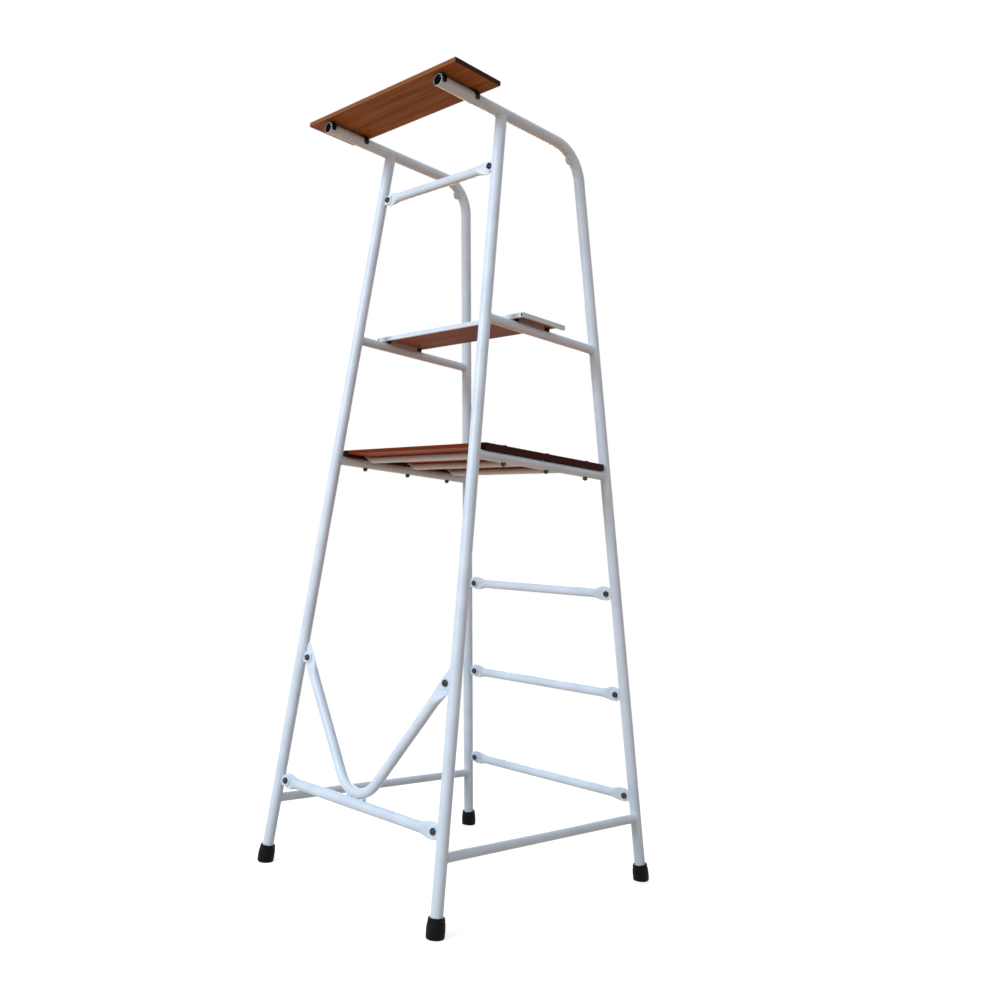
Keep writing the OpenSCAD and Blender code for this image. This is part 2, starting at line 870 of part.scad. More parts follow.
// Channel section with its back at x = 0 and its mouth towards +X
module channel_outline() {
    difference() {
        square([trim_depth, trim_h]);
        translate([trim_wall, trim_wall]) square([trim_depth, trim_h - 2 * trim_wall]);
    }
}

module seat_end_trim() {
    color(paint) translate([seat_x, seat_front_y, trim_low])
        upright(seat_depth + trim_tail, 0) mirror([1, 0]) channel_outline();
}

module left_seat_trim() {
    centred() left() seat_end_trim();
}

module right_seat_trim() {
    centred() seat_end_trim();
}

module seat_front_trim() {
    half = seat_x - trim_depth - board_fit;
    color(paint) centred() translate([half, seat_front_y, trim_low]) rotate([0, 0, 90])
        upright(2 * half, 0) channel_outline();
}

module seat_screws() {
    color(dark_steel) centred() at_seat_screws() translate([0, 0, seat_low + seat_t])
        screw(seat_t + seat_pad_rise + screw_tip);
}

// Table
module at_table_screws() {
    both_sides() for (y = table_saddle_ys) translate([top_x, y, 0]) children();
}

// Plastic saddles over the top rails, cut level where the table rests on them, with tapered legs
module table_saddle() {
    r_in = leg_r + saddle_fit;
    r_out = r_in + saddle_wall;
    top = leg_r + saddle_web;
    difference() {
        upright(saddle_w, -saddle_w / 2) difference() {
            intersection() {
                union() {
                    circle(r = r_out);
                    translate([-r_out, -r_out]) square([2 * r_out, r_out]);
                }
                translate([-r_out, -saddle_leg]) square([2 * r_out, saddle_leg + top]);
            }
            circle(r = r_in);
            translate([-r_in, -r_out - over]) square([2 * r_in, r_out + over]);
        }
        for (side = [-1, 1]) translate([-r_out - over, 0, 0]) rotate([90, 0, 90])
            linear_extrude(height = 2 * (r_out + over)) polygon([
                [side * saddle_foot / 2, -saddle_leg - over], [side * saddle_foot / 2, -saddle_leg],
                [side * saddle_w / 2, top], [side * saddle_w, top], [side * saddle_w, -saddle_leg - over]
            ]);
        cylinder(r = screw_hole_r, h = leg_d);
    }
}

module table_saddles() {
    color(black_plastic) centred() at_table_screws() translate([0, 0, rail_z]) table_saddle();
}

module table_board() {
    color(brown_wood) centred() difference() {
        translate([-table_x, table_front_y, table_low]) cube([2 * table_x, table_depth, table_t]);
        at_table_screws() translate([0, 0, table_low + table_t]) screw_hole(table_t + over);
    }
}

module table_screws() {
    color(dark_steel) centred() at_table_screws() translate([0, 0, table_low + table_t])
        screw(table_t + saddle_web + screw_tip);
}

// Rubber foot cap along a leg, from its rounded base up to its open mouth
module cap_outline() {
    translate([0, -cap_sink]) {
        polygon([
            [0, 0], [cap_base_r - cap_round, 0], [cap_base_r - cap_round, cap_round],
            for (i = [0 : cap_steps]) let (share = i / cap_steps)
                [cap_base_r + (cap_top_r - cap_base_r) * share + cap_swell * sin(180 * share),
                    cap_round + (cap_len + cap_sink - cap_round) * share],
            [0, cap_len + cap_sink]
        ]);
        intersection() {
            translate([cap_base_r - cap_round, cap_round]) circle(r = cap_round);
            square([cap_base_r, cap_round]);
        }
    }
}

module cap_solid() {
    difference() {
        rotate_extrude() cap_outline();
        translate([0, 0, cap_floor]) cylinder(r = leg_r + cap_fit, h = cap_len);
    }
}

module above_floor() {
    translate([-foot_x, -foot_x, 0]) cube([3 * foot_x, rear_foot_y + 2 * foot_x, 2 * cap_len]);
}

module front_foot_cap() {
    color(black_rubber) intersection() {
        along_front_leg() cap_solid();
        above_floor();
    }
}

module rear_foot_cap() {
    color(black_rubber) intersection() {
        along_rear_leg() cap_solid();
        above_floor();
    }
}

module left_front_foot_cap() {
    centred() left() front_foot_cap();
}

module right_front_foot_cap() {
    centred() front_foot_cap();
}

module left_rear_foot_cap() {
    centred() left() rear_foot_cap();
}

module right_rear_foot_cap() {
    centred() rear_foot_cap();
}

left_front_leg();
right_front_leg();
left_rear_leg_and_rail();
right_rear_leg_and_rail();
left_stretcher();
right_stretcher();
left_platform_rail();
right_platform_rail();
left_seat_rail();
right_seat_rail();
top_crossbar();
lower_crossbar();
v_brace();
v_brace_gussets();
lower_rung();
middle_rung();
upper_rung();
top_crossbar_ears();
lower_crossbar_ears();
v_brace_ears();
rung_ears();
bend_lugs();
frame_bolts();
frame_washers();
frame_nuts();
front_batten();
middle_batten();
rear_batten();
platform_pads();
platform_board();
left_platform_strip();
right_platform_strip();
platform_screws();
platform_bolts();
platform_washers();
platform_nuts();
seat_pads();
seat_board();
seat_front_trim();
left_seat_trim();
right_seat_trim();
seat_screws();
table_saddles();
table_board();
table_screws();
left_front_foot_cap();
right_front_foot_cap();
left_rear_foot_cap();
right_rear_foot_cap();
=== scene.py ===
import json
import math
import random

import bmesh
import bpy
from mathutils import Matrix, Vector


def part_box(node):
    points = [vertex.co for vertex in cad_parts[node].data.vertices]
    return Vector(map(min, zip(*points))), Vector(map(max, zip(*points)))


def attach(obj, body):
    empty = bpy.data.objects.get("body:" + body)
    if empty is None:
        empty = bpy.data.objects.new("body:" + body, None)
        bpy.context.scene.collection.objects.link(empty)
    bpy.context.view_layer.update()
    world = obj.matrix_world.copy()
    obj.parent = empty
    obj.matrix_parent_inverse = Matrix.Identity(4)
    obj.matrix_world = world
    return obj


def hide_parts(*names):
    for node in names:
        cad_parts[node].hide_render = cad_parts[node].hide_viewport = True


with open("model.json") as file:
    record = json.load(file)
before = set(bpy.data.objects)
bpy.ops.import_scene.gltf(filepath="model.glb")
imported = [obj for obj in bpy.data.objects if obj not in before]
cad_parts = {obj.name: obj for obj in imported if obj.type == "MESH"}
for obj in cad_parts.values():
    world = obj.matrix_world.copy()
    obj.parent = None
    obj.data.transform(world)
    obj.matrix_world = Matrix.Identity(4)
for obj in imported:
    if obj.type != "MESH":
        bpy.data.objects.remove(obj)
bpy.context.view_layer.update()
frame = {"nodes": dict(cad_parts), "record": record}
random.seed(7)
print("frame loaded:", len(frame["nodes"]), "CAD nodes")


# the stand's own layout in metres, as the frame has it; y counts from the front feet
stand = {
    "footX": 0.400,
    "railX": 0.257,
    "railZ": 2.300,
    "frontTopY": 0.174,
    "rearFootY": 0.883,
    "rearTopY": 0.516,
    "railReach": 0.080,
    "bendRadius": 0.114,
    "legRadius": 0.017,
    "sideBarRadius": 0.014,
    "barRadius": 0.015,
    "lowerBarRadius": 0.016,
    "barWall": 0.0015,
    "seam": 0.0004,
    "weldGap": 0.0003,
    "earThickness": 0.004,
    "earRadius": 0.016,
    "boltInset": 0.037,
    "topBoltInset": 0.030,
}
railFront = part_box("left_rear_leg_and_rail")[0].y
midY = -stand["railReach"] - railFront  # the frame's y = 0 lies this far behind the front feet
barY = stand["earThickness"] / 2 + stand["barWall"] + stand["seam"] / 2  # bars' axes behind the ears' plane
sideTilt = math.atan((stand["footX"] - stand["railX"]) / stand["railZ"])
frontLean = math.atan(stand["frontTopY"] / stand["railZ"])
rearLean = math.atan((stand["rearFootY"] - stand["rearTopY"]) / stand["railZ"])
heights = {
    "stretcher": 0.196,
    "lowerCrossbar": 0.256,
    "vBolt": 0.641,
    "rungs": (0.260, 0.581, 0.902),
    "platformRail": 1.275,
    "seatRail": 1.672,
    "topCrossbar": 2.138,
}


def halfWidth(z):
    return stand["footX"] - (stand["footX"] - stand["railX"]) * z / stand["railZ"]


def frontY(z):
    return stand["frontTopY"] * z / stand["railZ"]


def rearY(z):
    return stand["rearFootY"] - (stand["rearFootY"] - stand["rearTopY"]) * z / stand["railZ"]


sidePlane = Matrix.Translation((stand["footX"], -midY, 0)) @ Matrix.Rotation(-sideTilt, 4, "Y")
frontPlane = Matrix.Translation((0, -midY, 0)) @ Matrix.Rotation(-frontLean, 4, "X")
rearPlane = Matrix.Translation((0, stand["rearFootY"] - midY, 0)) @ Matrix.Rotation(rearLean, 4, "X")
flip = Matrix.Scale(-1, 4, (1, 0, 0))  # right side to left side


def legLine(footY, topY):  # a right leg's axis: its foot and its direction
    foot = Vector((stand["footX"], footY - midY, 0))
    run = Vector((stand["railX"] - stand["footX"], topY - footY, stand["railZ"]))
    return foot, run.normalized()


frontLeg = legLine(0, stand["frontTopY"])
rearLeg = legLine(stand["rearFootY"], stand["rearTopY"])


def onSide(leg, side):  # a right leg's line, or its mirror image for side -1
    return leg if side > 0 else (flip @ leg[0], flip.to_3x3() @ leg[1])


# colours and node trees
def tone(code):  # sRGB hex to the linear colour that Blender works in
    parts = [int(code[i:i + 2], 16) / 255 for i in (1, 3, 5)]
    return [p / 12.92 if p <= 0.04045 else ((p + 0.055) / 1.055) ** 2.4 for p in parts] + [1.0]


def put(tree, kind, inputs=None, **settings):
    # adds a node; an input is a value, a socket, or a node that stands for its first socket in use
    node = tree.nodes.new("ShaderNode" + kind)
    for key, value in settings.items():
        setattr(node, key, value)
    for key, value in (inputs or {}).items():
        if isinstance(value, bpy.types.Node):
            value = next(socket for socket in value.outputs if socket.enabled)
        if isinstance(value, bpy.types.NodeSocket):
            tree.links.new(value, node.inputs[key])
        else:
            node.inputs[key].default_value = value
    return node


def putRamp(tree, factor, *stops):  # colour ramp, each stop a place and an sRGB hex
    node = put(tree, "ValToRGB", {"Fac": factor})
    elements = node.color_ramp.elements
    while len(elements) < len(stops):
        elements.new(0.5)
    for element, (place, code) in zip(elements, stops):
        element.position = place
        element.color = tone(code)
    return node


def freshMaterial(name):
    material = bpy.data.materials.new(name)
    material.use_nodes = True
    material.node_tree.nodes.clear()
    return material, material.node_tree


# bore: painted shade for the inside of the open rails, near their mouths
paintLook = {"light": "#dfeaf4", "dull": "#d3dfea", "dust": "#cfd0cc", "bore": "#3b3f4a", "roughness": 0.36,
             "peelMm": 2.5, "cloudMm": 90, "dustHigh": 0.32, "dustLow": 0.03, "dustShare": 0.35,
             "boreEase": 0.0009, "boreDepth": 0.3}


def powderCoatedSteel():
    # polyester powder coat over welded tube: even satin sheen, faint orange peel, some dust near the floor
    material, tree = freshMaterial("powderCoatedSteel")
    place = put(tree, "TexCoord").outputs["Object"]
    cloud = put(tree, "TexNoise", {"Scale": 1000 / paintLook["cloudMm"], "Detail": 3.0, "Vector": place})
    tint = putRamp(tree, cloud, (0.35, paintLook["dull"]), (0.62, paintLook["light"]))
    spot = put(tree, "SeparateXYZ", {"Vector": place})
    low = put(tree, "MapRange", {"From Min": paintLook["dustHigh"], "From Max": paintLook["dustLow"],
                                 "To Max": paintLook["dustShare"], "Value": spot.outputs["Z"]})
    dust = put(tree, "Mix", {"Factor": low, "A": tint, "B": tone(paintLook["dust"])}, data_type="RGBA")
    # the open rails' bores are painted dark for a stretch in from the mouth: painted shade inside the tubes
    across = put(tree, "Math", {0: spot.outputs["X"]}, operation="ABSOLUTE")
    fromRail = put(tree, "Math", {0: across, 1: stand["railX"]}, operation="SUBTRACT")
    fromTop = put(tree, "Math", {0: spot.outputs["Z"], 1: stand["railZ"]}, operation="SUBTRACT")
    sideways = put(tree, "CombineXYZ", {"X": fromRail, "Y": fromTop})
    off = put(tree, "VectorMath", {0: sideways}, operation="LENGTH")
    boreRadius = stand["legRadius"] - paintLook["boreEase"]
    inside = put(tree, "Math", {0: off, 1: boreRadius}, operation="LESS_THAN")
    boreEnd = railFront + paintLook["boreDepth"]
    nearMouth = put(tree, "Math", {0: spot.outputs["Y"], 1: boreEnd}, operation="LESS_THAN")
    # mask of the painted shade inside the rails' open ends
    paintedBoreShade = put(tree, "Math", {0: inside, 1: nearMouth}, operation="MULTIPLY")
    coat = put(tree, "Mix", {"Factor": paintedBoreShade, "A": dust, "B": tone(paintLook["bore"])}, data_type="RGBA")
    peel = put(tree, "TexNoise", {"Scale": 1000 / paintLook["peelMm"], "Detail": 1.0, "Vector": place})
    bump = put(tree, "Bump", {"Strength": 0.12, "Distance": 0.0002, "Height": peel})
    sheen = put(tree, "MapRange", {"To Min": paintLook["roughness"] - 0.05,
                                   "To Max": paintLook["roughness"] + 0.07, "Value": cloud})
    shader = put(tree, "BsdfPrincipled", {"IOR": 1.5, "Specular IOR Level": 0.35, "Base Color": coat,
                                          "Roughness": sheen, "Normal": bump})
    put(tree, "OutputMaterial", {"Surface": shader})
    return material


def platedSteel(name, light, dark, roughness):
    # zinc-plated and passivated fastener: metallic, slightly cloudy, with fine turning marks
    material, tree = freshMaterial(name)
    place = put(tree, "TexCoord").outputs["Object"]
    cloud = put(tree, "TexNoise", {"Scale": 350.0, "Detail": 4.0, "Vector": place})
    tint = putRamp(tree, cloud, (0.3, dark), (0.7, light))
    rough = put(tree, "MapRange", {"To Min": roughness - 0.08, "To Max": roughness + 0.12, "Value": cloud})
    fine = put(tree, "TexNoise", {"Scale": 2500.0, "Detail": 1.0, "Vector": place})
    bump = put(tree, "Bump", {"Strength": 0.1, "Distance": 0.0001, "Height": fine})
    shader = put(tree, "BsdfPrincipled", {"Metallic": 1.0, "Base Color": tint, "Roughness": rough,
                                          "Normal": bump})
    put(tree, "OutputMaterial", {"Surface": shader})
    return material


def mouldedBlack(name, light, dark, roughness, gloss, grainMm, depth):
    # moulded black part: near-black body with a fine spark-eroded or matt grain from the tool
    material, tree = freshMaterial(name)
    place = put(tree, "TexCoord").outputs["Object"]
    grain = put(tree, "TexNoise", {"Scale": 1000 / grainMm, "Detail": 2.0, "Vector": place})
    blotch = put(tree, "TexNoise", {"Scale": 60.0, "Detail": 3.0, "Vector": place})
    tint = putRamp(tree, blotch, (0.35, dark), (0.7, light))
    rough = put(tree, "MapRange", {"To Min": roughness - 0.06, "To Max": roughness + 0.1, "Value": blotch})
    bump = put(tree, "Bump", {"Strength": 0.35, "Distance": depth, "Height": grain})
    shader = put(tree, "BsdfPrincipled", {"IOR": 1.5, "Specular IOR Level": gloss, "Base Color": tint,
                                          "Roughness": rough, "Normal": bump})
    put(tree, "OutputMaterial", {"Surface": shader})
    return material


def varnishedPlywood(name, look):
    # stained, varnished hardwood ply: long straight grain and pores on the faces, thin layers on the front
    #  and rear edges, and darker end grain at the two ends, its tone partly stain and partly painted shade
    material, tree = freshMaterial(name)
    place = put(tree, "TexCoord").outputs["Object"]
    seedAt = put(tree, "Mapping", {"Location": look["seed"], "Vector": place})
    long = put(tree, "Mapping", {"Scale": (1.0, 22.0, 22.0), "Vector": seedAt})
    wander = put(tree, "TexNoise", {"Scale": 3.0, "Detail": 4.0, "Distortion": 0.6, "Vector": long})
    figure = putRamp(tree, wander, (0.30, look["dark"]), (0.48, look["face"]), (0.70, look["pale"]))
    poresAt = put(tree, "Mapping", {"Scale": (12.0, 420.0, 420.0), "Vector": seedAt})
    pores = put(tree, "TexNoise", {"Scale": 1.6, "Detail": 2.0, "Vector": poresAt})
    poreMask = put(tree, "MapRange", {"From Min": 0.58, "From Max": 0.72, "To Max": 0.45, "Value": pores})
    faces = put(tree, "Mix", {"Factor": poreMask, "A": figure, "B": tone(look["pore"])}, data_type="RGBA")
    height = put(tree, "SeparateXYZ", {"Vector": place}).outputs["Z"]
    layer = put(tree, "Math", {0: height, 1: look["layerMm"] / 1000}, operation="PINGPONG")
    middle = look["layerMm"] / 2000  # half a layer in metres, where one layer gives way to the next
    layerMask = put(tree, "MapRange", {"From Min": middle / 1.1, "From Max": middle / 0.9, "Value": layer})
    edgeGrain = put(tree, "Mix", {"Factor": layerMask, "A": tone(look["edge"]),
                                  "B": tone(look["edgeDark"])}, data_type="RGBA")
    edges = put(tree, "Mix", {"Factor": 0.35, "A": edgeGrain, "B": figure}, data_type="RGBA",
                blend_type="MULTIPLY")
    normal = put(tree, "NewGeometry").outputs["True Normal"]
    side = put(tree, "SeparateXYZ", {"Vector": normal})
    towards = {}
    for axis in ("Y", "X"):
        share = put(tree, "Math", {0: side.outputs[axis]}, operation="ABSOLUTE")
        towards[axis] = put(tree, "MapRange", {"From Min": 0.55, "From Max": 0.8, "Value": share})
    withFront = put(tree, "Mix", {"Factor": towards["Y"], "A": faces, "B": edges}, data_type="RGBA")
    # the two ends get darker tones: the stain that end grain drinks, plus painted shade
    endGrain = put(tree, "TexNoise", {"Scale": 900.0, "Detail": 2.0, "Vector": place})
    endStainAndShade = putRamp(tree, endGrain, (0.35, look["endDark"]), (0.7, look["end"]))
    colour = put(tree, "Mix", {"Factor": towards["X"], "A": withFront, "B": endStainAndShade}, data_type="RGBA")
    bump = put(tree, "Bump", {"Strength": 0.25, "Distance": 0.0003, "Height": pores})
    shader = put(tree, "BsdfPrincipled", {"Roughness": look["roughness"], "IOR": 1.5,
                                          "Specular IOR Level": look["gloss"], "Base Color": colour,
                                          "Normal": bump})
    put(tree, "OutputMaterial", {"Surface": shader})
    return material


# each wood's end tones hold painted shade as well as the end grain's darker stain
tableWood = {"face": "#985c2b", "dark": "#82491c", "pale": "#a96e34", "pore": "#5e2c0a", "edge": "#a87248",
             "edgeDark": "#7c4c2c", "end": "#462310", "endDark": "#2e1507", "layerMm": 3.2, "roughness": 0.5,
             "gloss": 0.06, "seed": (0.3, 1.7, 0.2)}
seatWood = {"face": "#905026", "dark": "#743814", "pale": "#a66436", "pore": "#55220c", "edge": "#a1602c",
            "edgeDark": "#7c481e", "end": "#5c2f14", "endDark": "#3e1c0a", "layerMm": 2.4, "roughness": 0.5,
            "gloss": 0.06, "seed": (2.1, 0.4, 0.9)}
platformWood = {"face": "#9c4219", "dark": "#7c2c0c", "pale": "#b45a2c", "pore": "#561d08",
                "edge": "#843812", "edgeDark": "#66270b", "end": "#5a240e", "endDark": "#3f1708",
                "layerMm": 2.4, "roughness": 0.48, "gloss": 0.06, "seed": (4.2, 2.4, 1.1)}
stripWood = {"face": "#4a1808", "dark": "#220903", "pale": "#6c2a18", "pore": "#180603", "edge": "#2c0f07",
             "edgeDark": "#1c0804", "end": "#471608", "endDark": "#2c0c05", "layerMm": 2.4, "roughness": 0.42,
             "gloss": 0.06, "seed": (0.9, 5.1, 0.3)}

materials = {
    "paint": powderCoatedSteel(),
    "fastener_steel": platedSteel("blackPassivatedSteel", "#4a504d", "#272b29", 0.36),
    "screw_steel": platedSteel("clearPassivatedSteel", "#c2c0ba", "#8f8d88", 0.3),
    "black_plastic": mouldedBlack("mouldedNylon", "#0d0d10", "#050506", 0.42, 0.2, 0.8, 0.0001),
    "cap_rubber": mouldedBlack("mouldedRubber", "#08090c", "#030304", 0.55, 0.1, 1.2, 0.0002),
    "table_wood": varnishedPlywood("tablePlywood", tableWood),
    "seat_wood": varnishedPlywood("seatPlywood", seatWood),
    "platform_wood": varnishedPlywood("platformPlywood", platformWood),
    "strip_wood": varnishedPlywood("darkStainedHardwood", stripWood),
}
nodeSlots = {row["node"]: row["material_slot"] for row in frame["record"]["subparts"]}
for nodeName, nodeObject in frame["nodes"].items():
    nodeObject.data.materials.clear()
    nodeObject.data.materials.append(materials[nodeSlots[nodeName]])
print("materials made:", len(materials))


# pieces: a bmesh becomes an object that rides on the stand and may stand for a CAD node
def makePiece(name, mesh, slotName, *replaced, angle=35):
    data = bpy.data.meshes.new(name)
    bmesh.ops.recalc_face_normals(mesh, faces=mesh.faces)
    mesh.to_mesh(data)
    mesh.free()
    data.polygons.foreach_set("use_smooth", [True] * len(data.polygons))
    data.set_sharp_from_angle(angle=math.radians(angle))
    data.materials.append(materials[slotName])
    piece = bpy.data.objects.new(name, data)
    bpy.context.scene.collection.objects.link(piece)
    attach(piece, "root")
    if replaced:
        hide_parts(*replaced)
    return piece


def standIn(nodeName, mesh, angle=35):
    # stands for a CAD node in the node's own slot, with its name in camel case
    first, *others = nodeName.split("_")
    name = first + "".join(word.capitalize() for word in others)
    return makePiece(name, mesh, nodeSlots[nodeName], nodeName, angle=angle)


def joinRings(mesh, rings, closed=False, capped=True):
    count = len(rings[0])
    spans = len(rings) if closed else len(rings) - 1
    for i in range(spans):
        near, far = rings[i], rings[(i + 1) % len(rings)]
        for k in range(count):
            mesh.faces.new((near[k], near[(k + 1) % count], far[(k + 1) % count], far[k]))
    if capped and not closed:
        mesh.faces.new(rings[0])
        mesh.faces.new(rings[-1][::-1])


def circle(mesh, place, radius, height, steps):
    turns = [2 * math.pi * k / steps for k in range(steps)]
    return [mesh.verts.new(place @ Vector((radius * math.cos(a), radius * math.sin(a), height)))
            for a in turns]


axisRadius = 0.0002  # how near to its axis a turned part is closed


def turned(mesh, profile, place, steps=32, closed=False):  # (radius, height) points turned about local z
    joinRings(mesh, [circle(mesh, place, radius, height, steps) for radius, height in profile], closed)


def cutAway(mesh, point, normal):  # removes what lies on the normal's side and closes the cut
    cut = bmesh.ops.bisect_plane(mesh, geom=mesh.verts[:] + mesh.edges[:] + mesh.faces[:], plane_co=point,
                                 plane_no=normal, clear_outer=True)
    rim = [e for e in cut["geom_cut"] if isinstance(e, bmesh.types.BMEdge)]
    bmesh.ops.edgeloop_fill(mesh, edges=rim)


flatArea = 6e-5  # from this size a board's or plate's own face stays truly flat in its shading


def easedCopy(nodeName, width, shortest, segments=2, angle=30):
    # the CAD solid again, with its long hard edges eased
    mesh = bmesh.new()
    mesh.from_mesh(frame["nodes"][nodeName].data)
    bmesh.ops.remove_doubles(mesh, verts=mesh.verts, dist=1e-6)
    bmesh.ops.dissolve_limit(mesh, angle_limit=math.radians(1), verts=mesh.verts, edges=mesh.edges)
    hard = [e for e in mesh.edges if len(e.link_faces) == 2 and e.calc_face_angle() > math.radians(angle)
            and e.calc_length() > shortest]
    bmesh.ops.bevel(mesh, geom=hard, offset=width, segments=segments, profile=0.5, affect="EDGES",
                    clamp_overlap=True)
    for face in standIn(nodeName, mesh).data.polygons:
        if face.area > flatArea:
            face.use_smooth = False


# how far edges are eased and how long an edge must be for that, in metres, and on which nodes
easedNodes = [
    (0.002, 0.05, ["table_board"]),
    (0.001, 0.05, ["seat_board"]),
    (0.0015, 0.05, ["platform_board"]),
    (0.0015, 0.011, ["left_platform_strip", "right_platform_strip"]),
    (0.0005, 0.05, ["seat_front_trim"]),
    (0.0005, 0.012, ["left_seat_trim", "right_seat_trim"]),
    (0.0006, 0.0002, ["top_crossbar_ears", "lower_crossbar_ears", "v_brace_ears", "rung_ears", "bend_lugs"]),
    (0.0005, 0.0002, ["v_brace_gussets"]),
    (0.0007, 0.0002, ["platform_pads", "seat_pads"]),
    (0.0006, 0.0002, ["table_saddles"]),
]
for width, shortest, nodeNames in easedNodes:
    for nodeName in nodeNames:
        easedCopy(nodeName, width, shortest)
print("boards, trims, plates, pads and saddles eased")


# rubber foot caps: barrel sides, rounded base worn flat by the floor, lipped mouth round the leg
footCap = {"baseRadius": 0.025, "topRadius": 0.0225, "length": 0.052, "round": 0.008, "swell": 0.0015,
           "sink": 0.003, "bore": 0.0173, "boreFloor": 0.010, "lip": 0.0014, "groove": 0.0007,
           "grooveAt": 0.8, "grooveWidth": 0.035, "roundSteps": 8, "wallSteps": 24, "lipSteps": 4,
           "steps": 72}


def capProfile():
    profile = [(axisRadius, -footCap["sink"])]
    corner, lip = footCap["round"], footCap["lip"]
    for i in range(footCap["roundSteps"] + 1):
        a = math.pi / 2 * i / footCap["roundSteps"]
        profile.append((footCap["baseRadius"] - corner + corner * math.sin(a),
                        -footCap["sink"] + corner - corner * math.cos(a)))
    low, high = profile[-1][1], footCap["length"] - lip
    for i in range(1, footCap["wallSteps"] + 1):
        share = i / footCap["wallSteps"]
        radius = footCap["baseRadius"] + (footCap["topRadius"] - footCap["baseRadius"]) * share
        radius += footCap["swell"] * math.sin(math.pi * share)
        # a shallow moulded groove sets off the mouth's collar
        radius -= footCap["groove"] * math.exp(-((share - footCap["grooveAt"]) / footCap["grooveWidth"]) ** 2)
        profile.append((radius, low + (high - low) * share))
    top = profile[-1][0]
    for i in range(1, footCap["lipSteps"] + 1):
        a = math.pi / 2 * i / footCap["lipSteps"]
        profile.append((top - lip * (1 - math.cos(a)), high + lip * math.sin(a)))
    bore, mouth = footCap["bore"], footCap["length"]
    profile += [(bore + lip, mouth), (bore + lip * 0.3, mouth - lip * 0.3), (bore, mouth - lip)]
    profile += [(bore, footCap["boreFloor"]), (axisRadius, footCap["boreFloor"])]
    return profile


def buildFootCap(nodeName, leg, side):
    mesh = bmesh.new()
    foot, run = onSide(leg, side)
    place = Matrix.Translation(foot) @ Vector((0, 0, 1)).rotation_difference(run).to_matrix().to_4x4()
    turned(mesh, capProfile(), place, footCap["steps"])
    cutAway(mesh, (0, 0, 0), (0, 0, -1))
    standIn(nodeName, mesh, angle=40)


for end, leg in (("front", frontLeg), ("rear", rearLeg)):
    for word, side in (("left", -1), ("right", 1)):
        buildFootCap(word + "_" + end + "_foot_cap", leg, side)
print("foot caps made")


# flattened tube ends: the section goes from a circle to a stadium of the same girth
endLook = {"taper": 0.042, "run": 0.015, "tipGap": 0.002, "points": 40, "taperSteps": 14, "tipSteps": 9,
           "tipWidth": 0.004}


def stadium(width, thick, points):  # section outline as (across, through) pairs, with soft flats
    half = thick / 2
    straight = max(width / 2 - half, 0)
    outline = []
    for k in range(points):
        a = 2 * math.pi * k / points
        reach = max(-1, min(1, 3 * math.cos(a)))
        outline.append((straight * reach + half * math.cos(a), half * math.sin(a)))
    return outline


def eased(share):
    return 3 * share ** 2 - 2 * share ** 3


def squeezed(share, diameter, flatThick):
    # width and thickness part of the way from round to flat, with the tube's girth kept
    thick = diameter + (flatThick - diameter) * eased(share)
    straight = math.pi * (diameter - thick) / 2
    return thick + straight, thick


def sectionRing(mesh, place, x, width, thick, lift=0.0):
    return [mesh.verts.new(place @ Vector((x, lift + through, across)))
            for across, through in stadium(width, thick, endLook["points"])]


def flatEndRings(mesh, place, diameter, wall, taper, run, tip, lift, rounded=True):
    # rings from the round tube at x = 0 out to the rounded tip
    flatThick = 2 * wall + stand["seam"]
    rings = []
    for i in range(endLook["taperSteps"] + 1):
        share = i / endLook["taperSteps"]
        width, thick = squeezed(share, diameter, flatThick)
        rings.append(sectionRing(mesh, place, taper * share, width, thick, lift * eased(share)))
    flatWidth = squeezed(1, diameter, flatThick)[0]
    if not rounded:
        rings.append(sectionRing(mesh, place, taper + run + tip, flatWidth, flatThick, lift))
        return rings
    centre = taper + run + tip - flatWidth / 2
    for i in range(1, endLook["tipSteps"] + 1):
        a = math.pi / 2 * i / endLook["tipSteps"]
        width = max(flatWidth * math.cos(a), endLook["tipWidth"])
        rings.append(sectionRing(mesh, place, centre + flatWidth / 2 * math.sin(a), width, flatThick, lift))
    return rings


def pressedBar(nodeName, place, halfSpan, diameter, wall, taper, run, tip, lift=0.0):
    mesh = bmesh.new()
    start = halfSpan - run - taper
    right, left = (flatEndRings(mesh, place @ side @ Matrix.Translation((start, 0, 0)), diameter, wall, taper,
                                run, tip, lift)
                   for side in (Matrix.Identity(4), flip))
    joinRings(mesh, left[::-1] + right)
    standIn(nodeName, mesh, angle=50)


def frameBar(nodeName, plane, lean, z, radius, inset):
    place = plane @ Matrix.Translation((0, barY, z / math.cos(lean)))
    tip = inset - stand["legRadius"] - endLook["tipGap"]
    pressedBar(nodeName, place, halfWidth(z) - inset, 2 * radius, stand["barWall"], endLook["taper"],
               endLook["run"], tip)


frameBar("top_crossbar", frontPlane, frontLean, heights["topCrossbar"], stand["sideBarRadius"],
         stand["topBoltInset"])
frameBar("lower_crossbar", frontPlane, frontLean, heights["lowerCrossbar"], stand["lowerBarRadius"],
         stand["boltInset"])
for word, z in zip(("lower", "middle", "upper"), heights["rungs"]):
    frameBar(word + "_rung", rearPlane, rearLean, z, stand["barRadius"], stand["boltInset"])

batten = {"diameter": 0.021, "wall": 0.0012, "taper": 0.022, "run": 0.016, "tip": 0.010}
battenWords = ("front", "middle", "rear")
for word in battenWords:
    low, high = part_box(word + "_batten")
    flatThick = 2 * batten["wall"] + stand["seam"]
    place = Matrix.Translation((0, (low.y + high.y) / 2, high.z - batten["diameter"] / 2))
    place = place @ Matrix.Rotation(math.pi / 2, 4, "X")
    pressedBar(word + "_batten", place, halfWidth(heights["platformRail"]), batten["diameter"],
               batten["wall"], batten["taper"], batten["run"], batten["tip"],
               lift=(batten["diameter"] - flatThick) / 2)
print("bars with flattened ends made")


# V-brace: one bent tube, its flattened ends sheared beside the legs
vBrace = {"bendRadius": 0.103, "taper": 0.062, "tail": 0.044, "bendSteps": 28, "armSteps": 6}
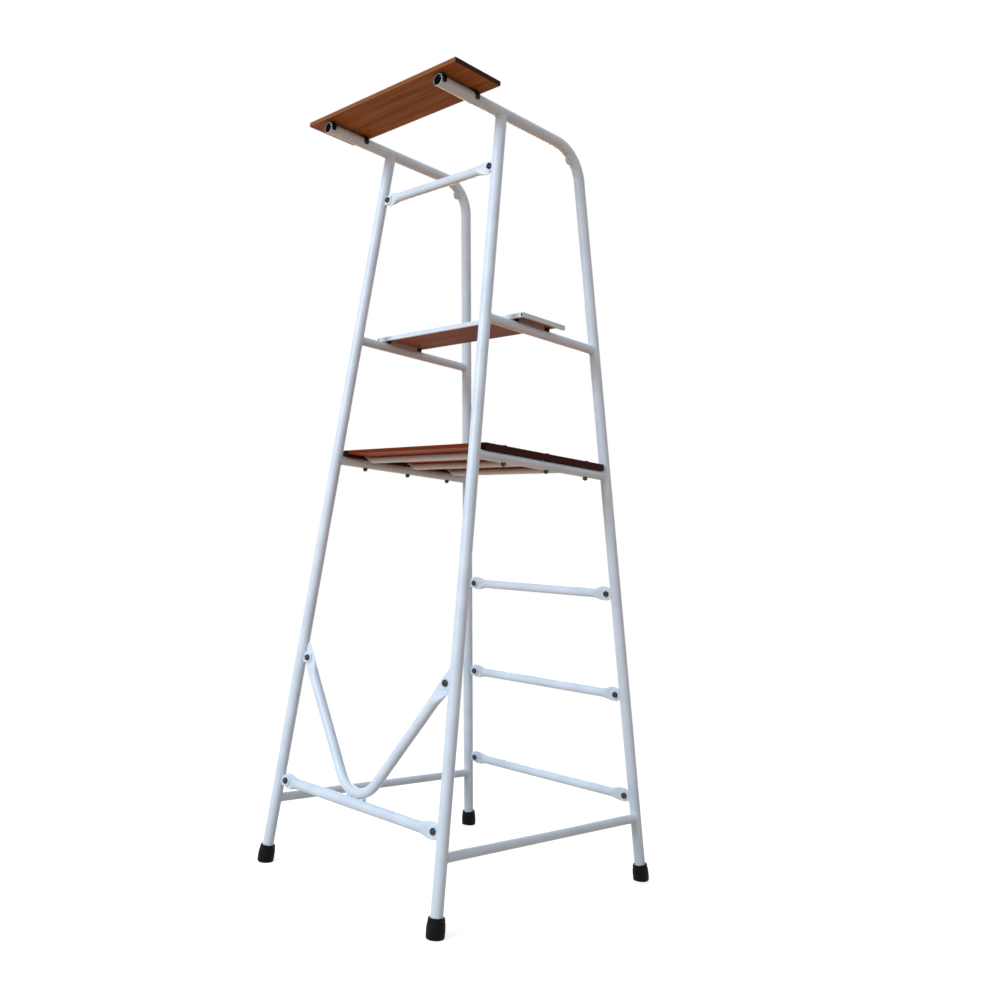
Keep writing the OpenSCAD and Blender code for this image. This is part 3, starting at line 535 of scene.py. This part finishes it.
# how high up the front plane the lower crossbar's top lies, where the bend is welded
crossbarTop = heights["lowerCrossbar"] / math.cos(frontLean) + stand["lowerBarRadius"]


def vBraceLayout():
    boltX = halfWidth(heights["vBolt"]) - stand["boltInset"]
    boltT = heights["vBolt"] / math.cos(frontLean)
    lowT = crossbarTop + stand["barRadius"] + stand["weldGap"]
    centreT = lowT + vBrace["bendRadius"]
    span = math.hypot(boltX, boltT - centreT)
    arm = math.sqrt(span ** 2 - vBrace["bendRadius"] ** 2)
    angle = math.atan2(boltX, boltT - centreT) - math.asin(vBrace["bendRadius"] / span)
    return boltX, boltT, centreT, arm, angle


def buildVBrace():
    boltX, boltT, centreT, arm, angle = vBraceLayout()
    radius = vBrace["bendRadius"]
    mesh = bmesh.new()
    plane = frontPlane @ Matrix.Translation((0, barY, 0))
    armStart = Matrix.Translation((radius * math.cos(angle), 0, centreT - radius * math.sin(angle)))
    armPlace = plane @ armStart @ Matrix.Rotation(angle - math.pi / 2, 4, "Y")
    straight = arm - endLook["run"] - vBrace["taper"]
    diameter = 2 * stand["barRadius"]
    arms = []
    for side in (Matrix.Identity(4), flip):
        rings = [sectionRing(mesh, side @ armPlace, straight * i / vBrace["armSteps"], diameter, diameter)
                 for i in range(vBrace["armSteps"])]
        endPlace = side @ armPlace @ Matrix.Translation((straight, 0, 0))
        rings += flatEndRings(mesh, endPlace, diameter, stand["barWall"], vBrace["taper"], endLook["run"],
                              2 * vBrace["tail"], lift=0.0, rounded=False)
        arms.append(rings)
    half = math.pi / 2 - angle
    bend = []
    for i in range(1, vBrace["bendSteps"]):
        turn = half - 2 * half * i / vBrace["bendSteps"]
        onBend = Matrix.Translation((radius * math.sin(turn), 0, centreT - radius * math.cos(turn)))
        bend.append(sectionRing(mesh, plane @ onBend @ Matrix.Rotation(-turn, 4, "Y"), 0, diameter, diameter))
    # the right arm runs outwards and the left arm is its mirror image, so all rings line up
    joinRings(mesh, arms[0][::-1] + bend + arms[1])
    bmesh.ops.recalc_face_normals(mesh, faces=mesh.faces)
    lean = math.atan((stand["footX"] - stand["railX"]) * math.cos(frontLean) / stand["railZ"])
    for side in (1, -1):
        beside = (plane @ Vector((side * (stand["footX"] - stand["legRadius"] - endLook["tipGap"]), 0, 0)),
                  plane.to_3x3() @ Vector((side * math.cos(lean), 0, math.sin(lean))))
        above = (plane @ Vector((side * boltX, 0, boltT + vBrace["tail"])),
                 plane.to_3x3() @ Vector((0, 0, 1)))
        cutAway(mesh, *beside)
        cutAway(mesh, *above)
    standIn("v_brace", mesh, angle=50)


buildVBrace()
print("V-brace made")


# where the twelve frame bolts go: matrices with local -y towards the bolt's head, with side and leg
def boltPlaces():
    places = []
    rows = [(frontPlane, frontLean, frontLeg, heights["topCrossbar"], stand["topBoltInset"]),
            (frontPlane, frontLean, frontLeg, heights["lowerCrossbar"], stand["boltInset"]),
            (frontPlane, frontLean, frontLeg, heights["vBolt"], stand["boltInset"])]
    rows += [(rearPlane, rearLean, rearLeg, z, stand["boltInset"]) for z in heights["rungs"]]
    for plane, lean, leg, z, inset in rows:
        for side in (1, -1):
            spot = Matrix.Translation((side * (halfWidth(z) - inset), 0, z / math.cos(lean)))
            places.append((plane @ spot, side, onSide(leg, side)))
    return places


frameBolt = {"radius": 0.005, "flats": 0.017, "head": 0.0064, "nut": 0.008, "washerRadius": 0.010,
             "washer": 0.002, "tip": 0.003, "pitch": 0.0015, "hole": 0.0055, "shankShare": 0.98}
hexLook = {"chamfer": 0.96, "flare": 1.06, "flareDepth": 0.06, "dishRim": 0.82, "dishFloor": 0.78,
           "dishDepth": 0.0003}
# a thread's shape in shares of its pitch, and the gap between a nut's bore and its bolt
threadLook = {"rowsPerPitch": 6, "leastRows": 6, "depth": 0.5, "chamfer": 0.6, "slope": 0.8, "gap": 0.0001}
rimEase = 0.0003  # rounding of a washer's rim
overlap = 0.001  # how far a bolt's shank runs into its head
towardsRear = Matrix.Rotation(-math.pi / 2, 4, "X")  # local z of a turned part to the plane's +y


def hexRadius(flats, angle):
    return flats / 2 / math.cos((angle + math.pi / 6) % (math.pi / 3) - math.pi / 6)


def hexPart(mesh, place, flats, height, bore=0.0, bothEnds=False, steps=48):
    # hexagon with its corners chamfered at 30 degrees, on one end or both
    chamferTop = flats / 2 * hexLook["chamfer"]

    def outline(upper):  # the hexagon's upper or lower outline, set back at its chamfered corners
        points = []
        for k in range(steps):
            a = 2 * math.pi * k / steps
            radius = hexRadius(flats, a)
            drop = max(radius - chamferTop, 0) * math.tan(math.radians(30))
            up = height - drop if upper else drop * bothEnds
            points.append(mesh.verts.new(place @ Vector((radius * math.cos(a), radius * math.sin(a), up))))
        return points

    def rounds(*profile):
        return [circle(mesh, place, radius, up, steps) for radius, up in profile]

    wide, deep = bore * hexLook["flare"], height * hexLook["flareDepth"]
    rings = rounds((bore, deep), (wide, 0), (chamferTop, 0)) if bothEnds else []
    rings += [outline(False), outline(True)]
    if bothEnds:
        rings += rounds((chamferTop, height), (wide, height), (bore, height - deep))
    else:
        rings += rounds((chamferTop, height), (chamferTop * hexLook["dishRim"], height),
                        (chamferTop * hexLook["dishFloor"], height - hexLook["dishDepth"]))
    joinRings(mesh, rings, closed=bothEnds, capped=not bothEnds)


def addWasher(mesh, place, hole, rim, thick, ease, steps):
    # ease: how far the upper edge is rounded, inwards and downwards
    inwards, down = ease
    turned(mesh, [(hole, 0), (rim - rimEase, 0), (rim, rimEase), (rim, thick - down),
                  (rim - inwards, thick), (hole, thick)], place, steps, closed=True)


def threadedTip(mesh, place, radius, low, high, pitch, steps=24):
    # thread as a spiral groove, ending in a small chamfer
    rows = max(int((high - low) / (pitch / threadLook["rowsPerPitch"])), threadLook["leastRows"])
    rings = []
    for i in range(rows + 1):
        height = low + (high - low) * i / rows
        chamfer = max(0, height - (high - pitch * threadLook["chamfer"])) * threadLook["slope"]
        ring = []
        for k in range(steps):
            wave = abs(((height / pitch - k / steps) % 1) - 0.5) * 2
            size = radius - pitch * threadLook["depth"] * wave - chamfer
            a = 2 * math.pi * k / steps
            ring.append(mesh.verts.new(place @ Vector((size * math.cos(a), size * math.sin(a), height))))
        rings.append(ring)
    joinRings(mesh, rings)


def buildFrameFasteners():
    bolts, washers, nuts = bmesh.new(), bmesh.new(), bmesh.new()
    ear = stand["earThickness"]
    flatThick = 2 * stand["barWall"] + stand["seam"]
    shank = frameBolt["radius"] * frameBolt["shankShare"]
    for place, _, _ in boltPlaces():
        along = place @ towardsRear
        headPlace = along @ Matrix.Translation((0, 0, -ear / 2)) @ Matrix.Rotation(math.pi, 4, "X")
        hexPart(bolts, headPlace, frameBolt["flats"], frameBolt["head"])
        washerAt = ear / 2 + flatThick
        nutAt = washerAt + frameBolt["washer"]
        end = nutAt + frameBolt["nut"] + frameBolt["tip"]
        turned(bolts, [(shank, -ear / 2 - overlap), (shank, washerAt)], along)
        threadedTip(bolts, along, frameBolt["radius"], washerAt, end, frameBolt["pitch"])
        addWasher(washers, along @ Matrix.Translation((0, 0, washerAt)), frameBolt["hole"],
                  frameBolt["washerRadius"], frameBolt["washer"], (0.0005, 0.0004), 40)
        hexPart(nuts, along @ Matrix.Translation((0, 0, nutAt)), frameBolt["flats"], frameBolt["nut"],
                bore=frameBolt["radius"] + threadLook["gap"], bothEnds=True)
    standIn("frame_bolts", bolts)
    standIn("frame_washers", washers)
    standIn("frame_nuts", nuts)


buildFrameFasteners()
print("frame fasteners made")


# weld beads: a rippled tube along the line where two parts meet
weldLook = {"radius": 0.0022, "ripple": 0.14, "pitch": 0.0032, "step": 0.0009, "sides": 8, "jitter": 0.04,
            "startSize": 0.45, "growth": 0.25, "points": 9}
earBead = {"start": 0.02, "off": 0.0006, "reach": 0.95, "size": 0.85}
braceBead = {"halfLength": 0.040, "side": 0.0056, "sink": 0.0007, "points": 21}
lugBead = {"angle": 51, "halfLength": 0.012, "side": 0.0026, "lift": 0.0001, "size": 0.8}


def hitTube(origin, direction, tube, radius):
    # nearest point, going along direction, on the tube round the line that tube gives
    base, axis = tube
    across = direction - direction.dot(axis) * axis
    offset = (origin - base) - (origin - base).dot(axis) * axis
    a, b, c = across.dot(across), 2 * across.dot(offset), offset.dot(offset) - radius ** 2
    root = max(b * b - 4 * a * c, 0)
    return origin + direction * ((-b - math.sqrt(root)) / (2 * a))


def evenPath(points, closed):
    # the same line with points at even steps
    if closed:
        points = points + [points[0]]
    lengths = [0.0]
    for i in range(1, len(points)):
        lengths.append(lengths[-1] + (points[i] - points[i - 1]).length)
    count = max(int(lengths[-1] / weldLook["step"]), 4)
    result, j = [], 1
    for i in range(count + (0 if closed else 1)):
        want = lengths[-1] * i / count
        while j < len(lengths) - 1 and lengths[j] < want:
            j += 1
        part = (want - lengths[j - 1]) / max(lengths[j] - lengths[j - 1], 1e-9)
        result.append(points[j - 1].lerp(points[j], part))
    return result


def addBead(mesh, points, closed=False, size=1.0):
    path = evenPath(points, closed)
    count, sides = len(path), weldLook["sides"]
    phase = random.random()
    rings, side = [], None
    for i, point in enumerate(path):
        ahead = path[(i + 1) % count] if closed or i < count - 1 else path[i]
        behind = path[i - 1] if closed or i > 0 else path[i]
        run = (ahead - behind).normalized()
        if side is None:
            side = run.orthogonal().normalized()
        side = (side - side.dot(run) * run).normalized()
        other = run.cross(side)
        travelled = i * weldLook["step"] / weldLook["pitch"] + phase
        swell = 1 + weldLook["ripple"] * (abs(math.sin(math.pi * travelled)) - 0.5)
        swell += random.uniform(-weldLook["jitter"], weldLook["jitter"])
        if not closed:
            swell *= min(1, weldLook["startSize"] + weldLook["growth"] * min(i, count - 1 - i))
        radius = weldLook["radius"] * size * swell
        rings.append([mesh.verts.new(point + radius * (math.cos(2 * math.pi * k / sides) * side
                                                       + math.sin(2 * math.pi * k / sides) * other))
                      for k in range(sides)])
    joinRings(mesh, rings, closed=closed)


def tubeJoint(start, direction, radius, leg, legRadius, points=72):
    # the line round a tube's end where it meets a leg, seen from a start outside the leg
    u = direction.orthogonal().normalized()
    v = direction.cross(u)
    line = []
    for k in range(points):
        a = 2 * math.pi * k / points
        line.append(hitTube(start + radius * (math.cos(a) * u + math.sin(a) * v), direction, leg, legRadius))
    return line


def beadShares(points):  # evenly from -1 to 1 along a bead
    return [2 * i / (points - 1) - 1 for i in range(points)]


def bothSides(points):
    return [points, [flip @ p for p in points]]


def buildSideWelds():
    mesh = bmesh.new()
    reach = 0.2  # starts well outside each leg
    thinner = 0.999  # leg and rail are equally thick, and each line along the leg still has to meet the rail
    for z in (heights["stretcher"], heights["platformRail"], heights["seatRail"]):
        front = Vector((halfWidth(z), frontY(z) - midY + reach, z))
        rear = Vector((halfWidth(z), rearY(z) - midY - reach, z))
        for start, y, leg in ((front, -1, frontLeg), (rear, 1, rearLeg)):
            joint = tubeJoint(start, Vector((0, y, 0)), stand["sideBarRadius"], leg, stand["legRadius"])
            for line in bothSides(joint):
                addBead(mesh, line, closed=True)
    rail = (Vector((stand["railX"], 0, stand["railZ"])), Vector((0, 1, 0)))
    legTop = Vector((stand["railX"], stand["frontTopY"] - midY, stand["railZ"])) - reach * frontLeg[1]
    joint = tubeJoint(legTop, frontLeg[1], stand["legRadius"] * thinner, rail, stand["legRadius"])
    for line in bothSides(joint):
        addBead(mesh, line, closed=True)
    makePiece("sideFrameWelds", mesh, "paint", angle=180)


def buildEarWelds():
    mesh = bmesh.new()
    for place, side, leg in boltPlaces():
        outwards = (place.to_3x3() @ Vector((side, 0, 0))).normalized()
        for face in (-1, 1):
            line = []
            for share in beadShares(weldLook["points"]):
                up = stand["earRadius"] * share * earBead["reach"]
                origin = place @ Vector((-side * earBead["start"],
                                         face * (stand["earThickness"] / 2 + earBead["off"]), up))
                line.append(hitTube(origin, outwards, leg, stand["legRadius"]))
            addBead(mesh, line, size=earBead["size"])
    makePiece("earWelds", mesh, "paint", angle=180)


def buildBraceWelds():
    mesh = bmesh.new()
    place = frontPlane @ Matrix.Translation((0, barY, crossbarTop - braceBead["sink"]))
    for face in (-1, 1):
        addBead(mesh, [place @ Vector((braceBead["halfLength"] * share, face * braceBead["side"], 0))
                       for share in beadShares(braceBead["points"])])
    makePiece("braceWelds", mesh, "paint", angle=180)


def buildLugWelds():
    mesh = bmesh.new()
    turn = math.atan((stand["rearFootY"] - stand["rearTopY"]) / (stand["railZ"] / math.cos(sideTilt)))
    cut = stand["bendRadius"] * math.tan((math.pi / 2 - turn) / 2)
    centre = Vector((0, stand["rearTopY"] - cut, stand["railZ"] / math.cos(sideTilt) - stand["bendRadius"]))
    inner = stand["bendRadius"] - stand["legRadius"] + lugBead["lift"]
    for face in (-1, 1):
        line = []
        for share in beadShares(weldLook["points"]):
            a = math.radians(lugBead["angle"]) + lugBead["halfLength"] * share / inner
            local = centre + Vector((face * lugBead["side"], inner * math.cos(a), inner * math.sin(a)))
            line.append(sidePlane @ local)
        for points in bothSides(line):
            addBead(mesh, points, size=lugBead["size"])
    makePiece("lugWelds", mesh, "paint", angle=180)


buildSideWelds()
buildEarWelds()
buildBraceWelds()
buildLugWelds()
print("weld beads made")


# platform bolts with low domed heads, board screws with cross recesses
coachBolt = {"radius": 0.004, "dome": 0.009, "domeHeight": 0.004, "flats": 0.013, "nut": 0.0065,
             "washer": 0.0015, "washerRadius": 0.008, "hole": 0.0044, "pitch": 0.00125, "domeSteps": 8}
battenYs = [(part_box(word + "_batten")[0].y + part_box(word + "_batten")[1].y) / 2 for word in battenWords]


def buildPlatformFasteners():
    bolts, washers, nuts = bmesh.new(), bmesh.new(), bmesh.new()
    x = halfWidth(heights["platformRail"])
    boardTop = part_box("platform_board")[1].z
    railLow = heights["platformRail"] - stand["sideBarRadius"]
    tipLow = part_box("platform_bolts")[0].z
    for y in battenYs:
        for side in (1, -1):
            place = Matrix.Translation((side * x, y, 0))
            dome = []
            for i in range(coachBolt["domeSteps"]):
                a = math.pi / 2 * i / coachBolt["domeSteps"]
                up = boardTop + coachBolt["domeHeight"] * math.sin(a)
                dome.append((coachBolt["dome"] * math.cos(a), up))
            turned(bolts, dome + [(axisRadius, boardTop + coachBolt["domeHeight"])], place, 40)
            turned(bolts, [(coachBolt["radius"], railLow), (coachBolt["radius"], boardTop + overlap)], place)
            down = place @ Matrix.Rotation(math.pi, 4, "X")
            threadedTip(bolts, down, coachBolt["radius"], -railLow, -tipLow, coachBolt["pitch"])
            washerLow = railLow - coachBolt["washer"]
            addWasher(washers, place @ Matrix.Translation((0, 0, washerLow)), coachBolt["hole"],
                      coachBolt["washerRadius"], coachBolt["washer"], (rimEase, rimEase), 36)
            nutPlace = place @ Matrix.Translation((0, 0, washerLow - coachBolt["nut"]))
            hexPart(nuts, nutPlace, coachBolt["flats"], coachBolt["nut"],
                    bore=coachBolt["radius"] + threadLook["gap"], bothEnds=True)
    standIn("platform_bolts", bolts)
    standIn("platform_washers", washers)
    standIn("platform_nuts", nuts)


buildPlatformFasteners()

boardScrew = {"head": 0.005, "headHeight": 0.0025, "shank": 0.0025, "slot": 0.0009, "arm": 0.0029,
              "depth": 0.0016, "armRise": 0.55, "edgeDrop": 0.0002, "rings": 26, "steps": 72}


def crossDepth(x, y):
    # depth of a cross recess at a point of the head
    armDepth = 0.0
    for along, across in ((x, y), (y, x)):
        if abs(across) < boardScrew["slot"] and abs(along) < boardScrew["arm"]:
            armDepth = boardScrew["depth"] * (1 - boardScrew["armRise"] * abs(along) / boardScrew["arm"])
    return armDepth


def buildScrews(nodeName, xs, ys):
    mesh = bmesh.new()
    low, top = (corner.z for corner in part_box(nodeName))
    for x, y in [(x, y) for x in xs for y in ys]:
        place = Matrix.Translation((x, y, top)) @ Matrix.Rotation(random.uniform(0, math.pi / 2), 4, "Z")
        rings = []
        for i in range(boardScrew["rings"], 0, -1):
            radius = boardScrew["head"] * i / boardScrew["rings"]
            ring = []
            for k in range(boardScrew["steps"]):
                a = 2 * math.pi * k / boardScrew["steps"]
                u, v = radius * math.cos(a), radius * math.sin(a)
                edge = boardScrew["edgeDrop"] if i == boardScrew["rings"] else 0
                ring.append(mesh.verts.new(place @ Vector((u, v, -crossDepth(u, v) - edge))))
            rings.append(ring)
        tail = [circle(mesh, place, boardScrew["shank"], height, boardScrew["steps"])
                for height in (-boardScrew["headHeight"], low - top)]
        joinRings(mesh, tail[::-1] + rings)
    standIn(nodeName, mesh)


def nodeRows(nodeName, count):
    # evenly spaced rows across a node's screws, from the outermost ones' centres
    low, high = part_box(nodeName)
    xs = (low.x + boardScrew["head"], high.x - boardScrew["head"])
    ys = (low.y + boardScrew["head"], high.y - boardScrew["head"])
    spaced = [xs[0] + (xs[1] - xs[0]) * i / (count - 1) for i in range(count)]
    return spaced, ys


buildScrews("table_screws", *nodeRows("table_screws", 2))
buildScrews("platform_screws", nodeRows("platform_screws", 3)[0], battenYs)
buildScrews("seat_screws", *nodeRows("seat_screws", 2))
print("screws and platform fasteners made")


# camera as the photograph was taken, from a fit of the frame's corners
camera = {"place": (2.3511, -1.8302 - midY, 0.957), "yaw": 44.852, "pitch": 3.931, "roll": 3.792,
          "lens": 36.355}


def placeCamera():
    yaw, pitch, roll = (math.radians(camera[k]) for k in ("yaw", "pitch", "roll"))
    forward = Vector((-math.sin(yaw) * math.cos(pitch), math.cos(yaw) * math.cos(pitch), math.sin(pitch)))
    levelRight = Vector((math.cos(yaw), math.sin(yaw), 0))
    levelUp = levelRight.cross(forward)
    right = math.cos(roll) * levelRight + math.sin(roll) * levelUp
    up = -math.sin(roll) * levelRight + math.cos(roll) * levelUp
    data = bpy.data.cameras.new("photoCamera")
    data.lens = camera["lens"]
    data.sensor_width = 36
    data.clip_end = 200
    eye = bpy.data.objects.new("photoCamera", data)
    turn = Matrix((right, up, -forward)).transposed().to_4x4()
    eye.matrix_world = Matrix.Translation(camera["place"]) @ turn
    bpy.context.scene.collection.objects.link(eye)
    bpy.context.scene.camera = eye


placeCamera()


# studio: pale floor that fades to white, cool soft key from the front, even sky
studio = {"floor": 14.0, "fadeFrom": 0.9, "fadeTo": 3.2, "floorTone": "#f4f1ea", "bounceTone": "#c4966a",
          "nearTone": "#a39689", "nearFloor": 0.5, "farFloor": 1.6, "lift": 0.54,
          "key": 520.0, "keyTone": "#e1f1ff", "keyPlace": (-0.3, -8.0, 4.2), "keySize": 3.2,
          "aim": (0, 0, 1.2), "skyTone": "#bfc3cc", "skyStrength": 0.88, "fill": 200.0, "fillTone": "#fbf6ee",
          "fillPlace": (-5.0, 5.5, 3.2), "fillSize": 3.5}


def seenDirectly(tree):
    # 1 for what the camera sees, in gloss or through glass too, and 0 for the light on the object
    ray = put(tree, "LightPath").outputs
    either = put(tree, "Math", {0: ray["Is Camera Ray"], 1: ray["Is Glossy Ray"]}, operation="MAXIMUM")
    return put(tree, "Math", {0: either, 1: ray["Is Transmission Ray"]}, operation="MAXIMUM")


def buildFloor():
    mesh = bmesh.new()
    bmesh.ops.create_grid(mesh, x_segments=2, y_segments=2, size=studio["floor"])
    data = bpy.data.meshes.new("studioFloor")
    mesh.to_mesh(data)
    mesh.free()
    floor = bpy.data.objects.new("studioFloor", data)
    bpy.context.scene.collection.objects.link(floor)
    material, tree = freshMaterial("paleStudioFloor")
    place = put(tree, "TexCoord").outputs["Object"]
    away = put(tree, "VectorMath", {0: place}, operation="LENGTH")

    def farther(near, far):  # from 0 at one distance to 1 at another
        return put(tree, "MapRange", {"From Min": near, "From Max": far, "Value": away},
                   interpolation_type="SMOOTHSTEP")

    pale = put(tree, "BsdfDiffuse", {"Color": tone(studio["floorTone"])})
    lift = put(tree, "Emission", {"Strength": studio["lift"]})
    lifted = put(tree, "AddShader", {0: pale, 1: lift})
    white = put(tree, "Emission", {"Strength": 1.0})
    fade = farther(studio["fadeFrom"], studio["fadeTo"])
    seen = put(tree, "MixShader", {"Fac": fade, 1: lifted, 2: white})
    # the light thrown back on the object is greyer close by and warm further out
    outwards = farther(studio["nearFloor"], studio["farFloor"])
    bounce = put(tree, "Mix", {"Factor": outwards, "A": tone(studio["nearTone"]),
                               "B": tone(studio["bounceTone"])}, data_type="RGBA")
    warm = put(tree, "BsdfDiffuse", {"Color": bounce})
    final = put(tree, "MixShader", {"Fac": seenDirectly(tree), 1: warm, 2: seen})
    put(tree, "OutputMaterial", {"Surface": final})
    data.materials.append(material)


def buildSky():
    world = bpy.data.worlds.new("studioSky")
    world.use_nodes = True
    tree = world.node_tree
    tree.nodes.clear()
    sky = put(tree, "Background", {"Color": tone(studio["skyTone"]), "Strength": studio["skyStrength"]})
    white = put(tree, "Background", {"Color": (1, 1, 1, 1), "Strength": 1.0})
    plain = put(tree, "MixShader", {"Fac": seenDirectly(tree), 1: sky, 2: white})
    put(tree, "OutputWorld", {"Surface": plain})
    bpy.context.scene.world = world


def addLamp(name, place, target, size, power, colour):
    data = bpy.data.lights.new(name, "AREA")
    data.shape = "DISK"
    data.size = size
    data.energy = power
    data.color = tone(colour)[:3]
    lamp = bpy.data.objects.new(name, data)
    lamp.location = place
    lamp.rotation_euler = (Vector(target) - Vector(place)).to_track_quat("-Z", "Y").to_euler()
    bpy.context.scene.collection.objects.link(lamp)


buildFloor()
buildSky()
for lamp in ("key", "fill"):
    addLamp(lamp + "Lamp", studio[lamp + "Place"], studio["aim"], studio[lamp + "Size"], studio[lamp],
            studio[lamp + "Tone"])
bpy.context.scene.view_settings.view_transform = "Standard"
print("studio set")
